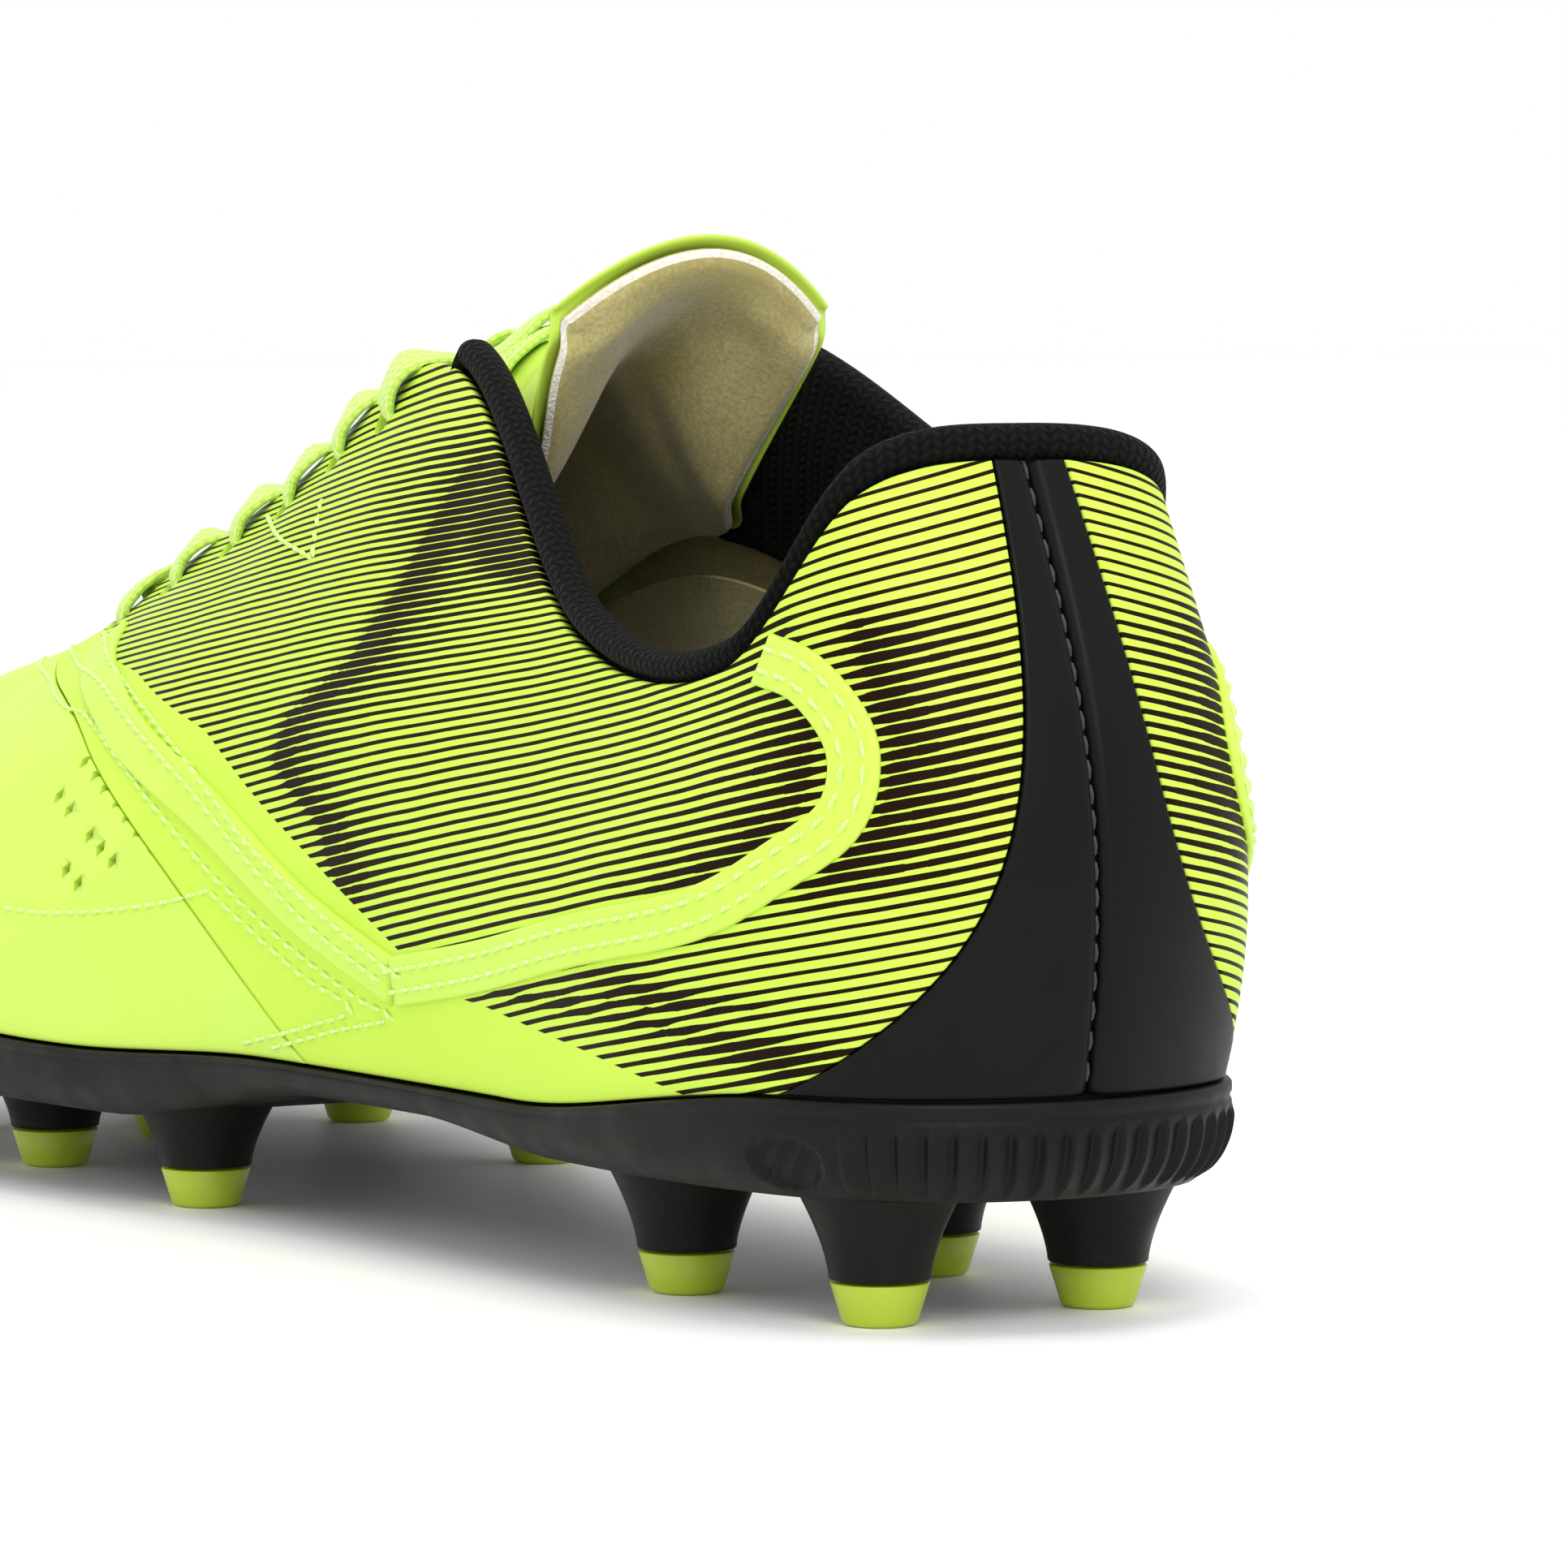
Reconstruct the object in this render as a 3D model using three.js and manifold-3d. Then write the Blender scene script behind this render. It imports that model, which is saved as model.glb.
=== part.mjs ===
// Low-cut firm-ground football boot for the left foot, adult EU 42, in millimetres.
// +X is the outer (lateral) side, -Y the toe and +Z up. Stations 0 to 18 run once round the
// foot: 0 at the toe, 9 at the back of the heel, 0 to 9 on the outer side, 9 to 18 on the inner.
import * as THREE from 'three';
import { mergeVertices } from 'three/addons/utils/BufferGeometryUtils.js';
import Module from 'manifold-3d';

const wasm = await Module();
wasm.setup();

// overall sizes
const shoeLength = 282;
const shoeHalfWidth = 46;
const heelTopHeight = 89.5;
const outerDipHeight = 67.5;
const innerDipHeight = 71;
const eyestayTopHeight = 98;
const throatHeight = 67;
const toeRidgeHeight = 45;

// layers of the upper, each measured along the surface normal
const gap = 0.3;
const facetRoom = 0.3; // extra room between curved layers that are made of flat facets
const upperThickness = 1.6;
const overlayThickness = 0.9;
const eyestayThickness = 0.6;
const stiffenerThickness = 1.1;
const liningThickness = 0.8;
const collarPadThickness = 3.2;
const collarRollRadius = 1.9;
const overlayWidth = 5.6;
const eyestayWidth = 11;

// outsole and studs
const heelPlateBottom = 13.8;
const shankPlateBottom = 16;
const forefootPlateBottom = 10.7;
const plateOverhang = 0.8;
const studTipHeight = 4.8;
const studTipRadius = 4.1;
const studSplitRadius = 5.3;
const heelStudRootRadius = 9.4;
const forefootStudRootRadius = 8.4;
const studSides = 10;
const pegRadius = 2;
const pegLength = 3;
const boardThickness = 1.8;
const socklinerThickness = 3.5;

// lacing and tongue
const eyeletPairs = 6;
const firstEyeletStation = 3.2;
const eyeletPitch = 0.304;
const eyeletInset = 6;
const eyeletRadius = 2.6;
const laceWidth = 6;
const laceThickness = 1.3;
const laceWidthInHole = 3.4;
const tongueFaceThickness = 1.2;
const tongueFoamThickness = 4;
const tongueRise = 11.4;
const tongueReach = 26;

const colours = {
  neon: 0xcdf04f, black: 0x262724, knit: 0x141414, outsole: 0x2e302a,
  tip: 0xb5cc30, beige: 0xb9ae8a, board: 0xd8d2c2, white: 0xe6e4da, lace: 0xd2f562,
};

// plan outline at the sole line: share of the half width, share of the length from the heel
const outlineShares = [
  [-0.2, 0.986], [0.28, 0.961], [0.72, 0.876], [0.946, 0.745], [0.9, 0.596], [0.75, 0.433],
  [0.696, 0.27], [0.674, 0.128], [0.478, 0.032], [0, 0], [-0.478, 0.032], [-0.674, 0.128],
  [-0.652, 0.27], [-0.598, 0.433], [-0.739, 0.596], [-0.978, 0.745], [-0.913, 0.876], [-0.63, 0.957],
];

// top line: collar, eyestays and the ridge of the vamp, with its height
const topShares = [
  [-0.13, 0.904, toeRidgeHeight], [-0.11, 0.872, toeRidgeHeight + 5], [-0.043, 0.787, throatHeight - 8],
  [0.239, 0.709, throatHeight], [0.283, 0.539, (throatHeight + eyestayTopHeight) / 2 + 1.5],
  [0.37, 0.379, eyestayTopHeight], [0.576, 0.22, outerDipHeight + 2.5], [0.58, 0.106, outerDipHeight],
  [0.4, 0.056, heelTopHeight - 3.5], [0, 0.043, heelTopHeight], [-0.4, 0.056, heelTopHeight - 3.5],
  [-0.587, 0.135, innerDipHeight], [-0.587, 0.248, (innerDipHeight + eyestayTopHeight) / 2 + 0.5],
  [-0.413, 0.372, eyestayTopHeight + 1], [-0.304, 0.539, (throatHeight + eyestayTopHeight) / 2 + 1.5],
  [-0.283, 0.709, throatHeight], [-0.043, 0.787, throatHeight - 8], [-0.11, 0.872, toeRidgeHeight + 5],
];

const stations = outlineShares.length;
const heelStation = stations / 2;
const ridgeEnd = 2;
const collarStart = 5;

const outline = new THREE.CatmullRomCurve3(
  outlineShares.map(([across, along]) => new THREE.Vector3(across * shoeHalfWidth, -along * shoeLength, 0)),
  true, 'catmullrom', 0.5);
const topLine = new THREE.CatmullRomCurve3(
  topShares.map(([across, along, up]) => new THREE.Vector3(across * shoeHalfWidth, -along * shoeLength, up)),
  true, 'catmullrom', 0.5);

// depths of the layers under the upper's outer surface
const stiffenerOuter = -(upperThickness + gap + facetRoom);
const stiffenerInner = stiffenerOuter - stiffenerThickness;
const eyestayOuter = stiffenerOuter - 1.4 * facetRoom;
const eyestayInner = eyestayOuter - eyestayThickness;
const liningOuter = stiffenerInner - gap - facetRoom / 2;
const liningInner = liningOuter - liningThickness;

function lerp(from, to, share) {
  return from + (to - from) * share;
}

function ease(from, to, value) {
  const t = Math.min(Math.max((value - from) / (to - from), 0), 1);
  return t * t * (3 - 2 * t);
}

function wrap(station) {
  return ((station % stations) + stations) % stations;
}

// distance in stations from the toe, the same on both sides
function fromToe(station) {
  const a = wrap(station);
  return Math.min(a, stations - a);
}

function outlineAt(station) {
  return outline.getPoint(wrap(station) / stations);
}

function topAt(station) {
  const own = topLine.getPoint(wrap(station) / stations);
  const other = topLine.getPoint(wrap(-station) / stations);
  const shared = 1 - ease(ridgeEnd, ridgeEnd + 0.5, fromToe(station));
  return own.lerp(other, shared / 2);
}

function outwardAt(station) {
  const step = 1e-3;
  const along = outlineAt(station + step).sub(outlineAt(station - step));
  return new THREE.Vector3(along.y, -along.x, 0).normalize();
}

// height of the line where the upper meets the outsole, and of the plate's underside
function soleLine(y) {
  const along = -y / shoeLength;
  const heel = 4.6 * ease(0.234, 0.05, along);
  const waist = 1.5 * ease(0.425, 0.567, along) * ease(0.762, 0.585, along);
  const toe = 6 * ease(0.727, 0.975, along);
  return 20 + heel - waist + toe;
}

function plateBottom(y) {
  const along = -y / shoeLength;
  const shank = lerp(heelPlateBottom, shankPlateBottom, ease(0.22, 0.32, along));
  const forefoot = lerp(shank, forefootPlateBottom, ease(0.4, 0.55, along));
  return forefoot + 6 * ease(0.78, 0.99, along);
}

// the outer surface of the upper: one Bezier wall at each station, share 0 at the sole line and 1 at the top
function wallAt(station, share) {
  const foot = outlineAt(station);
  foot.z = soleLine(foot.y);
  const top = topAt(station);
  const fore = ease(0.425, 0.727, -foot.y / shoeLength);
  const rise = top.z - foot.z;
  const lower = foot.clone().addScaledVector(outwardAt(station), lerp(6, 2, fore));
  lower.z += rise * lerp(0.42, 0.55, fore);
  const laced = ease(2.2, 3.4, fromToe(station)) * ease(5.6, 4.6, fromToe(station));
  const reach = lerp(lerp(0.95, 0.62, fore), 0.45, laced);
  const drop = lerp(0.34 * (1 - fore), 0.3, laced);
  const upper = new THREE.Vector3(
    lerp(top.x, foot.x, reach), lerp(top.y, foot.y, reach), top.z - rise * drop);
  return new THREE.CubicBezierCurve3(foot, lower, upper, top).getPoint(share);
}

function alongWall(station, share) {
  const step = 1e-3;
  return wallAt(station + step, share).sub(wallAt(station - step, share)).divideScalar(2 * step);
}

function upWall(station, share) {
  const step = 1e-3;
  return wallAt(station, share + step).sub(wallAt(station, share - step)).divideScalar(2 * step);
}

function normalAt(station, share) {
  const normal = new THREE.Vector3().crossVectors(alongWall(station, share), upWall(station, share)).normalize();
  const onRidge = share > 0.999 && fromToe(station) <= ridgeEnd + 1e-6;
  if (!onRidge) return normal;
  const other = new THREE.Vector3().crossVectors(alongWall(-station, share), upWall(-station, share)).normalize();
  return normal.add(other).normalize();
}

function offsetAt(station, share, distance) {
  return wallAt(station, share).addScaledVector(normalAt(station, share), distance);
}

// the share of the wall at a given height
function shareAtHeight(station, height) {
  let low = 0;
  let high = 1;
  for (let i = 0; i < 24; i += 1) {
    const middle = (low + high) / 2;
    if (wallAt(station, middle).z < height) low = middle;
    else high = middle;
  }
  return (low + high) / 2;
}

// moves a point of the wall by a 3-D step that lies in the surface
function slide(station, share, step) {
  const along = alongWall(station, share);
  const rise = upWall(station, share);
  const aa = along.dot(along);
  const ab = along.dot(rise);
  const bb = rise.dot(rise);
  const ra = along.dot(step);
  const rb = rise.dot(step);
  const det = aa * bb - ab * ab;
  return [station + (ra * bb - rb * ab) / det, share + (rb * aa - ra * ab) / det];
}

function signedVolume(position, index) {
  const a = new THREE.Vector3();
  const b = new THREE.Vector3();
  const c = new THREE.Vector3();
  let sum = 0;
  for (let i = 0; i < index.length; i += 3) {
    a.fromBufferAttribute(position, index[i]);
    b.fromBufferAttribute(position, index[i + 1]);
    c.fromBufferAttribute(position, index[i + 2]);
    sum += a.dot(b.cross(c)) / 6;
  }
  return sum;
}

// a closed body from points and triangles: shared points merged, empty triangles dropped, faces out
function bodyFrom(points, triangles) {
  const loose = new THREE.BufferGeometry();
  loose.setAttribute('position', new THREE.Float32BufferAttribute(points.flatMap((p) => [p.x, p.y, p.z]), 3));
  loose.setIndex(triangles);
  const body = mergeVertices(loose, 1e-3);
  const old = Array.from(body.index.array);
  const kept = [];
  for (let i = 0; i < old.length; i += 3) {
    const [a, b, c] = old.slice(i, i + 3);
    if (a !== b && b !== c && c !== a) kept.push(a, b, c);
  }
  if (signedVolume(body.attributes.position, kept) < 0) {
    for (let i = 0; i < kept.length; i += 3) [kept[i], kept[i + 1]] = [kept[i + 1], kept[i]];
  }
  body.setIndex(kept);
  return body;
}

// a sheet with two faces; pointAt(i, j, side) gives the outer (1) and inner (0) faces
function sheetBody(columns, rows, pointAt, topIsOpen = () => true) {
  const points = [];
  const triangles = [];
  const at = (i, j, side) => (side * (rows + 1) + j) * (columns + 1) + i;
  const quad = (a, b, c, d) => triangles.push(a, b, c, a, c, d);
  for (let side = 0; side < 2; side += 1) {
    for (let j = 0; j <= rows; j += 1) {
      for (let i = 0; i <= columns; i += 1) points.push(pointAt(i, j, side));
    }
  }
  for (let j = 0; j < rows; j += 1) {
    for (let i = 0; i < columns; i += 1) {
      quad(at(i, j, 1), at(i + 1, j, 1), at(i + 1, j + 1, 1), at(i, j + 1, 1));
      quad(at(i, j, 0), at(i, j + 1, 0), at(i + 1, j + 1, 0), at(i + 1, j, 0));
    }
    quad(at(0, j, 0), at(0, j, 1), at(0, j + 1, 1), at(0, j + 1, 0));
    quad(at(columns, j, 1), at(columns, j, 0), at(columns, j + 1, 0), at(columns, j + 1, 1));
  }
  for (let i = 0; i < columns; i += 1) {
    quad(at(i, 0, 0), at(i + 1, 0, 0), at(i + 1, 0, 1), at(i, 0, 1));
    if (topIsOpen(i)) quad(at(i, rows, 1), at(i + 1, rows, 1), at(i + 1, rows, 0), at(i, rows, 0));
  }
  return bodyFrom(points, triangles);
}

// a panel of the upper between two stations and two shares, from one depth to another;
// each limit is a number or a function of the share, and each depth of station and share;
// columns crowd towards the last station, or towards the first when crowd is negative
function panel({ from, to, low = 0, high = 1, inner, outer, columns, rows, crowd = 1 }) {
  const value = (limit, ...at) => (typeof limit === 'function' ? limit(...at) : limit);
  return sheetBody(columns, rows, (i, j, side) => {
    const share = lerp(low, high, j / rows);
    const along = crowd > 0 ? 1 - (1 - i / columns) ** crowd : (i / columns) ** -crowd;
    const station = lerp(value(from, share), value(to, share), along);
    return offsetAt(station, share, value(side ? outer : inner, station, share));
  });
}

// a panel that wraps over the toe, with its two sides joined along the ridge
function toePanel({ edge, low = 0, inner, outer, ridgeColumns, sideColumns, rows }) {
  const half = ridgeColumns + sideColumns;
  return sheetBody(2 * half, rows, (i, j, side) => {
    const share = lerp(low, 1, j / rows);
    const step = Math.abs(i - half);
    const beyond = (step - ridgeColumns) / sideColumns;
    const reach = step <= ridgeColumns ? ridgeEnd * step / ridgeColumns : lerp(ridgeEnd, edge(share), beyond);
    return offsetAt(Math.sign(i - half) * reach, share, side ? outer : inner);
  }, (i) => i < sideColumns || i >= 2 * half - sideColumns);
}

function toSolid(body) {
  const bare = body.clone();
  bare.deleteAttribute('normal');
  bare.deleteAttribute('uv');
  const merged = mergeVertices(bare, 1e-4);
  return new wasm.Manifold(new wasm.Mesh({
    numProp: 3,
    vertProperties: new Float32Array(merged.attributes.position.array),
    triVerts: new Uint32Array(merged.index.array),
  }));
}

function fromSolid(solid) {
  const mesh = solid.getMesh();
  const body = new THREE.BufferGeometry();
  body.setAttribute('position', new THREE.BufferAttribute(new Float32Array(mesh.vertProperties), 3));
  body.setIndex(Array.from(mesh.triVerts));
  return body;
}

const shoe = new THREE.Group();

function addPiece(name, body, colour, roughness, group = shoe) {
  const material = new THREE.MeshStandardMaterial({ color: colour, roughness, metalness: 0 });
  const mesh = new THREE.Mesh(body, material);
  mesh.name = name;
  group.add(mesh);
}

function mirrorStation(station) {
  return stations - station;
}

// the same panel on the inner side of the foot
function mirrored(settings) {
  const flip = (limit) => (typeof limit === 'function' ? (share) => mirrorStation(limit(share)) : mirrorStation(limit));
  const crowd = settings.crowd ? -settings.crowd : 1;
  return { ...settings, crowd, from: flip(settings.to), to: flip(settings.from) };
}

// ---- outsole, studs, board and sockliner

function spineAt(station) {
  const middle = outlineAt(station).add(outlineAt(-station)).divideScalar(2);
  middle.y = Math.min(Math.max(middle.y, -0.9 * shoeLength), -0.1 * shoeLength);
  return middle;
}

// a flat body inside the outline; each ring is a share from the spine to the edge, a growth and a height
function footprintBody(columns, rings) {
  const points = [];
  const triangles = [];
  for (const { share, grow, height } of rings) {
    for (let i = 0; i < columns; i += 1) {
      const station = stations * i / columns;
      const edge = outlineAt(station).addScaledVector(outwardAt(station), grow);
      const point = spineAt(station).lerp(edge, share);
      point.z = height(point.y);
      points.push(point);
    }
  }
  for (let k = 0; k + 1 < rings.length; k += 1) {
    for (let i = 0; i < columns; i += 1) {
      const a = k * columns + i;
      const b = k * columns + (i + 1) % columns;
      triangles.push(a, b, b + columns, a, b + columns, a + columns);
    }
  }
  return bodyFrom(points, triangles);
}

const footprintColumns = 42;
const plateTop = (y) => soleLine(y) - gap;

function platePieces() {
  const between = (share) => (y) => lerp(plateBottom(y), plateTop(y), share);
  return footprintBody(footprintColumns, [
    { share: 0, grow: 0, height: plateTop },
    { share: 0.55, grow: plateOverhang, height: plateTop },
    { share: 1, grow: plateOverhang, height: plateTop },
    { share: 1, grow: plateOverhang - 0.2, height: between(0.55) },
    { share: 1, grow: plateOverhang - 1.6, height: between(0.15) },
    { share: 1, grow: plateOverhang - 4, height: plateBottom },
    { share: 0, grow: 0, height: plateBottom },
  ]);
}

// stud places: share of the half width, share of the length from the heel
const studs = {
  heel_outer_rear: [0.304, 0.066], heel_outer_front: [0.391, 0.184],
  heel_inner_rear: [-0.296, 0.071], heel_inner_front: [-0.274, 0.184],
  forefoot_outer_rear: [0.587, 0.528], forefoot_outer_middle: [0.522, 0.695],
  forefoot_outer_front: [0.36, 0.85], forefoot_inner_rear: [-0.63, 0.6],
  forefoot_inner_middle: [-0.68, 0.79], forefoot_inner_front: [-0.42, 0.895], forefoot_centre: [-0.06, 0.775],
};

function studPlace([across, along]) {
  return new THREE.Vector3(across * shoeHalfWidth, -along * shoeLength, 0);
}

// a stud flares into the plate and has a socket for the peg of its tip
function studRoot(place) {
  const top = plateBottom(place.y) + 1.5;
  const isHeel = -place.y / shoeLength < 0.3;
  const rootRadius = isHeel ? heelStudRootRadius : forefootStudRootRadius;
  const socketTop = studTipHeight + pegLength + gap;
  const profile = [new THREE.Vector2(0, socketTop), new THREE.Vector2(pegRadius + gap, socketTop)];
  profile.push(new THREE.Vector2(pegRadius + gap, studTipHeight));
  for (let i = 0; i <= 4; i += 1) {
    const share = i / 4;
    const radius = lerp(studSplitRadius, rootRadius, share ** 1.9);
    profile.push(new THREE.Vector2(radius, lerp(studTipHeight, top, share)));
  }
  profile.push(new THREE.Vector2(0, top));
  return latheBody(profile).translate(place.x, place.y, 0);
}

function latheBody(profile) {
  const lathe = new THREE.LatheGeometry(profile, studSides).rotateX(Math.PI / 2);
  lathe.deleteAttribute('normal');
  lathe.deleteAttribute('uv');
  const merged = mergeVertices(lathe, 1e-4);
  const points = [];
  for (let i = 0; i < merged.attributes.position.count; i += 1) {
    points.push(new THREE.Vector3().fromBufferAttribute(merged.attributes.position, i));
  }
  return bodyFrom(points, Array.from(merged.index.array));
}

function studTip(place) {
  const split = studTipHeight - gap;
  const edge = 0.7;
  return latheBody([
    new THREE.Vector2(0, 0),
    new THREE.Vector2(studTipRadius - edge, 0),
    new THREE.Vector2(studTipRadius, edge),
    new THREE.Vector2(studSplitRadius - 0.1, split),
    new THREE.Vector2(pegRadius, split),
    new THREE.Vector2(pegRadius, split + pegLength),
    new THREE.Vector2(0, split + pegLength),
  ]).translate(place.x, place.y, 0);
}

function addSole() {
  let plate = toSolid(platePieces());
  for (const shares of Object.values(studs)) plate = plate.add(toSolid(studRoot(studPlace(shares))));
  addPiece('outsole_plate', fromSolid(plate), colours.outsole, 0.55);
  for (const [name, shares] of Object.entries(studs)) {
    addPiece(`stud_tip_${name}`, studTip(studPlace(shares)), colours.tip, 0.5);
  }
  const inset = liningInner - gap - 2 * facetRoom;
  const shares = [0, 0.55, 1];
  const layer = (bottom, thickness, grow) => footprintBody(footprintColumns, [
    ...shares.map((share) => ({ share, grow, height: (y) => bottom(y) + thickness })),
    ...shares.toReversed().map((share) => ({ share, grow, height: bottom })),
  ]);
  addPiece('insole_board', layer(soleLine, boardThickness, inset), colours.board, 0.9);
  const linerBottom = (y) => soleLine(y) + boardThickness + gap;
  addPiece('sockliner', layer(linerBottom, socklinerThickness, inset - 1.2), colours.black, 0.9);
}

// ---- upper

const seamGap = 0.009; // half of the gap between neighbouring panels, in stations
const throatSeam = 2.55;

// station of the seam between vamp and quarter
function vampSeam(share) {
  return throatSeam + 2.7 * (1 - share) ** 1.05;
}

// half width, in stations, of the dark strip up the back of the heel: it spreads at the foot
function heelStripHalf(share) {
  return (5.5 + 3.2 * (1 - share) + 26 * Math.exp(-6.5 * share)) / 25;
}

function topShareInside(station, distance) {
  const rise = upWall(station, 1);
  return 1 - distance / rise.length();
}

function eyeletAt(pair, side) {
  const station = firstEyeletStation + eyeletPitch * pair;
  const signed = side > 0 ? station : mirrorStation(station);
  return [signed, topShareInside(signed, eyeletInset)];
}

// cylinders along the surface normal that punch the eyelets of one side
function punchEyelets(body, side) {
  let solid = toSolid(body);
  for (let pair = 0; pair < eyeletPairs; pair += 1) {
    const [station, share] = eyeletAt(pair, side);
    const centre = offsetAt(station, share, -upperThickness);
    const punch = new THREE.CylinderGeometry(eyeletRadius, eyeletRadius, 9, 8);
    punch.applyQuaternion(new THREE.Quaternion().setFromUnitVectors(
      new THREE.Vector3(0, 1, 0), normalAt(station, share)));
    punch.translate(centre.x, centre.y, centre.z);
    solid = solid.subtract(toSolid(punch));
  }
  return fromSolid(solid);
}

// a strip of constant width along a path of [station, height] points
function strip(path, width, inner, outer, columns) {
  const curve = new THREE.CatmullRomCurve3(
    path.map(([station, height]) => new THREE.Vector3(station, height ?? topAt(station).z, 0)), false, 'centripetal');
  const rows = 2;
  return sheetBody(columns, rows, (i, j, side) => {
    const t = i / columns;
    const here = curve.getPoint(t);
    const share = Math.min(shareAtHeight(here.x, here.y), 0.985);
    const ahead = curve.getPoint(Math.min(t + 1e-3, 1));
    const behind = curve.getPoint(Math.max(t - 1e-3, 0));
    const run = wallAt(ahead.x, Math.min(shareAtHeight(ahead.x, ahead.y), 0.99))
      .sub(wallAt(behind.x, Math.min(shareAtHeight(behind.x, behind.y), 0.99)));
    const across = new THREE.Vector3().crossVectors(normalAt(here.x, share), run).setLength(width / 2);
    const [station, place] = slide(here.x, share, across.multiplyScalar(2 * j / rows - 1));
    return offsetAt(station, Math.min(place, 0.985), side ? outer : inner);
  });
}

const bandPath = [[7.42, null], [7.72, 67.5], [7.93, 63.5], [8, 58.7], [7.93, 53], [7.68, 48.4], [7.3, 43], [6.67, 38.6],
  [6.2, 34.5], [5.74, 31.2]];
const vampEdgePath = [[3.44, 64.5], [3.65, 61.5], [4.05, 57], [4.75, 47.5], [5.3, 37.5], [5.74, 31.2]];

function overlay(flip) {
  const side = (path) => path.map(([station, height]) => [flip ? mirrorStation(station) : station, height]);
  const inner = gap + facetRoom / 2;
  const outer = inner + overlayThickness;
  const band = toSolid(strip(side(bandPath), overlayWidth, inner, outer, 30));
  const edge = toSolid(strip(side(vampEdgePath), overlayWidth, inner, outer, 22));
  return fromSolid(band.add(edge));
}

function addUpper() {
  const skin = { inner: -upperThickness, outer: 0 };
  addPiece('vamp', toePanel({ edge: (share) => vampSeam(share) - seamGap, ...skin,
    ridgeColumns: 8, sideColumns: 7, rows: 8 }), colours.neon, 0.45);
  const quarter = { from: (share) => vampSeam(share) + seamGap,
    to: (share) => heelStation - heelStripHalf(share) - seamGap, ...skin, columns: 30, rows: 8, crowd: 1.15 };
  addPiece('lateral_quarter', punchEyelets(panel(quarter), 1), colours.neon, 0.45);
  addPiece('medial_quarter', punchEyelets(panel(mirrored(quarter)), -1), colours.neon, 0.45);
  const heel = { from: (share) => heelStation - heelStripHalf(share) + seamGap, to: heelStation - seamGap,
    ...skin, columns: 5, rows: 10 };
  addPiece('lateral_heel_panel', panel(heel), colours.black, 0.6);
  addPiece('medial_heel_panel', panel(mirrored(heel)), colours.black, 0.6);
  addPiece('lateral_overlay', overlay(false), colours.neon, 0.45);
  addPiece('medial_overlay', overlay(true), colours.neon, 0.45);
}

// the collar lining stands off by the thickness of the foam behind it
function padAt(station, share) {
  return collarPadThickness * ease(5.3, 6.3, fromToe(station)) * ease(0.5, 0.66, share);
}

function addInside() {
  const behind = { inner: stiffenerInner, outer: stiffenerOuter };
  const counterDepths = { inner: stiffenerInner, outer: stiffenerOuter - 1.5 * facetRoom };
  addPiece('toe_puff', panel({ from: -1.9, to: 1.9, low: 0.02, high: 0.6, ...behind, columns: 12, rows: 4 }),
    colours.board, 0.8);
  addPiece('heel_counter', panel({ from: heelStation - 1.75, to: heelStation + 1.75, low: 0.1, high: 0.52,
    ...counterDepths, columns: 16, rows: 5 }), colours.board, 0.8);
  const eyestay = { from: firstEyeletStation - 0.09, to: 4.88, columns: 12, rows: 2 };
  const eyestayBody = (flip) => sheetBody(eyestay.columns, eyestay.rows, (i, j, side) => {
    const own = lerp(eyestay.from, eyestay.to, i / eyestay.columns);
    const station = flip ? mirrorStation(own) : own;
    const share = lerp(topShareInside(station, eyestayWidth), 1, j / eyestay.rows);
    return offsetAt(station, share, side ? eyestayOuter : eyestayInner);
  });
  addPiece('lateral_eyestay_reinforcement', punchEyelets(eyestayBody(false), 1), colours.white, 0.8);
  addPiece('medial_eyestay_reinforcement', punchEyelets(eyestayBody(true), -1), colours.white, 0.8);
  const lined = { inner: liningInner, outer: liningOuter };
  addPiece('vamp_lining', toePanel({ edge: (share) => vampSeam(share) - 0.02, low: 0.02, ...lined,
    ridgeColumns: 8, sideColumns: 5, rows: 6 }), colours.beige, 0.9);
  const quarterLining = { from: (share) => vampSeam(share) + 0.02, to: collarStart - 0.02 + 0.5,
    low: 0.02, high: 0.66, ...lined, columns: 6, rows: 6 };
  addPiece('lateral_quarter_lining', panel(quarterLining), colours.beige, 0.9);
  addPiece('medial_quarter_lining', panel(mirrored(quarterLining)), colours.beige, 0.9);
}

function addCollar() {
  const foamInner = (station, share) => liningOuter + 2 * gap - padAt(station, share);
  addPiece('collar_foam', panel({ from: 6, to: mirrorStation(6), low: 0.62, high: 0.98, inner: foamInner,
    outer: stiffenerOuter, columns: 28, rows: 3 }), colours.white, 0.9);
  addPiece('collar_lining', panel({ from: 5.55, to: mirrorStation(5.55), low: 0.02, high: 0.98,
    inner: (station, share) => liningInner - padAt(station, share),
    outer: (station, share) => liningOuter - padAt(station, share), columns: 26, rows: 6 }), colours.knit, 0.95);
  addPiece('collar_binding', collarRoll(), colours.knit, 0.95);
}

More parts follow.
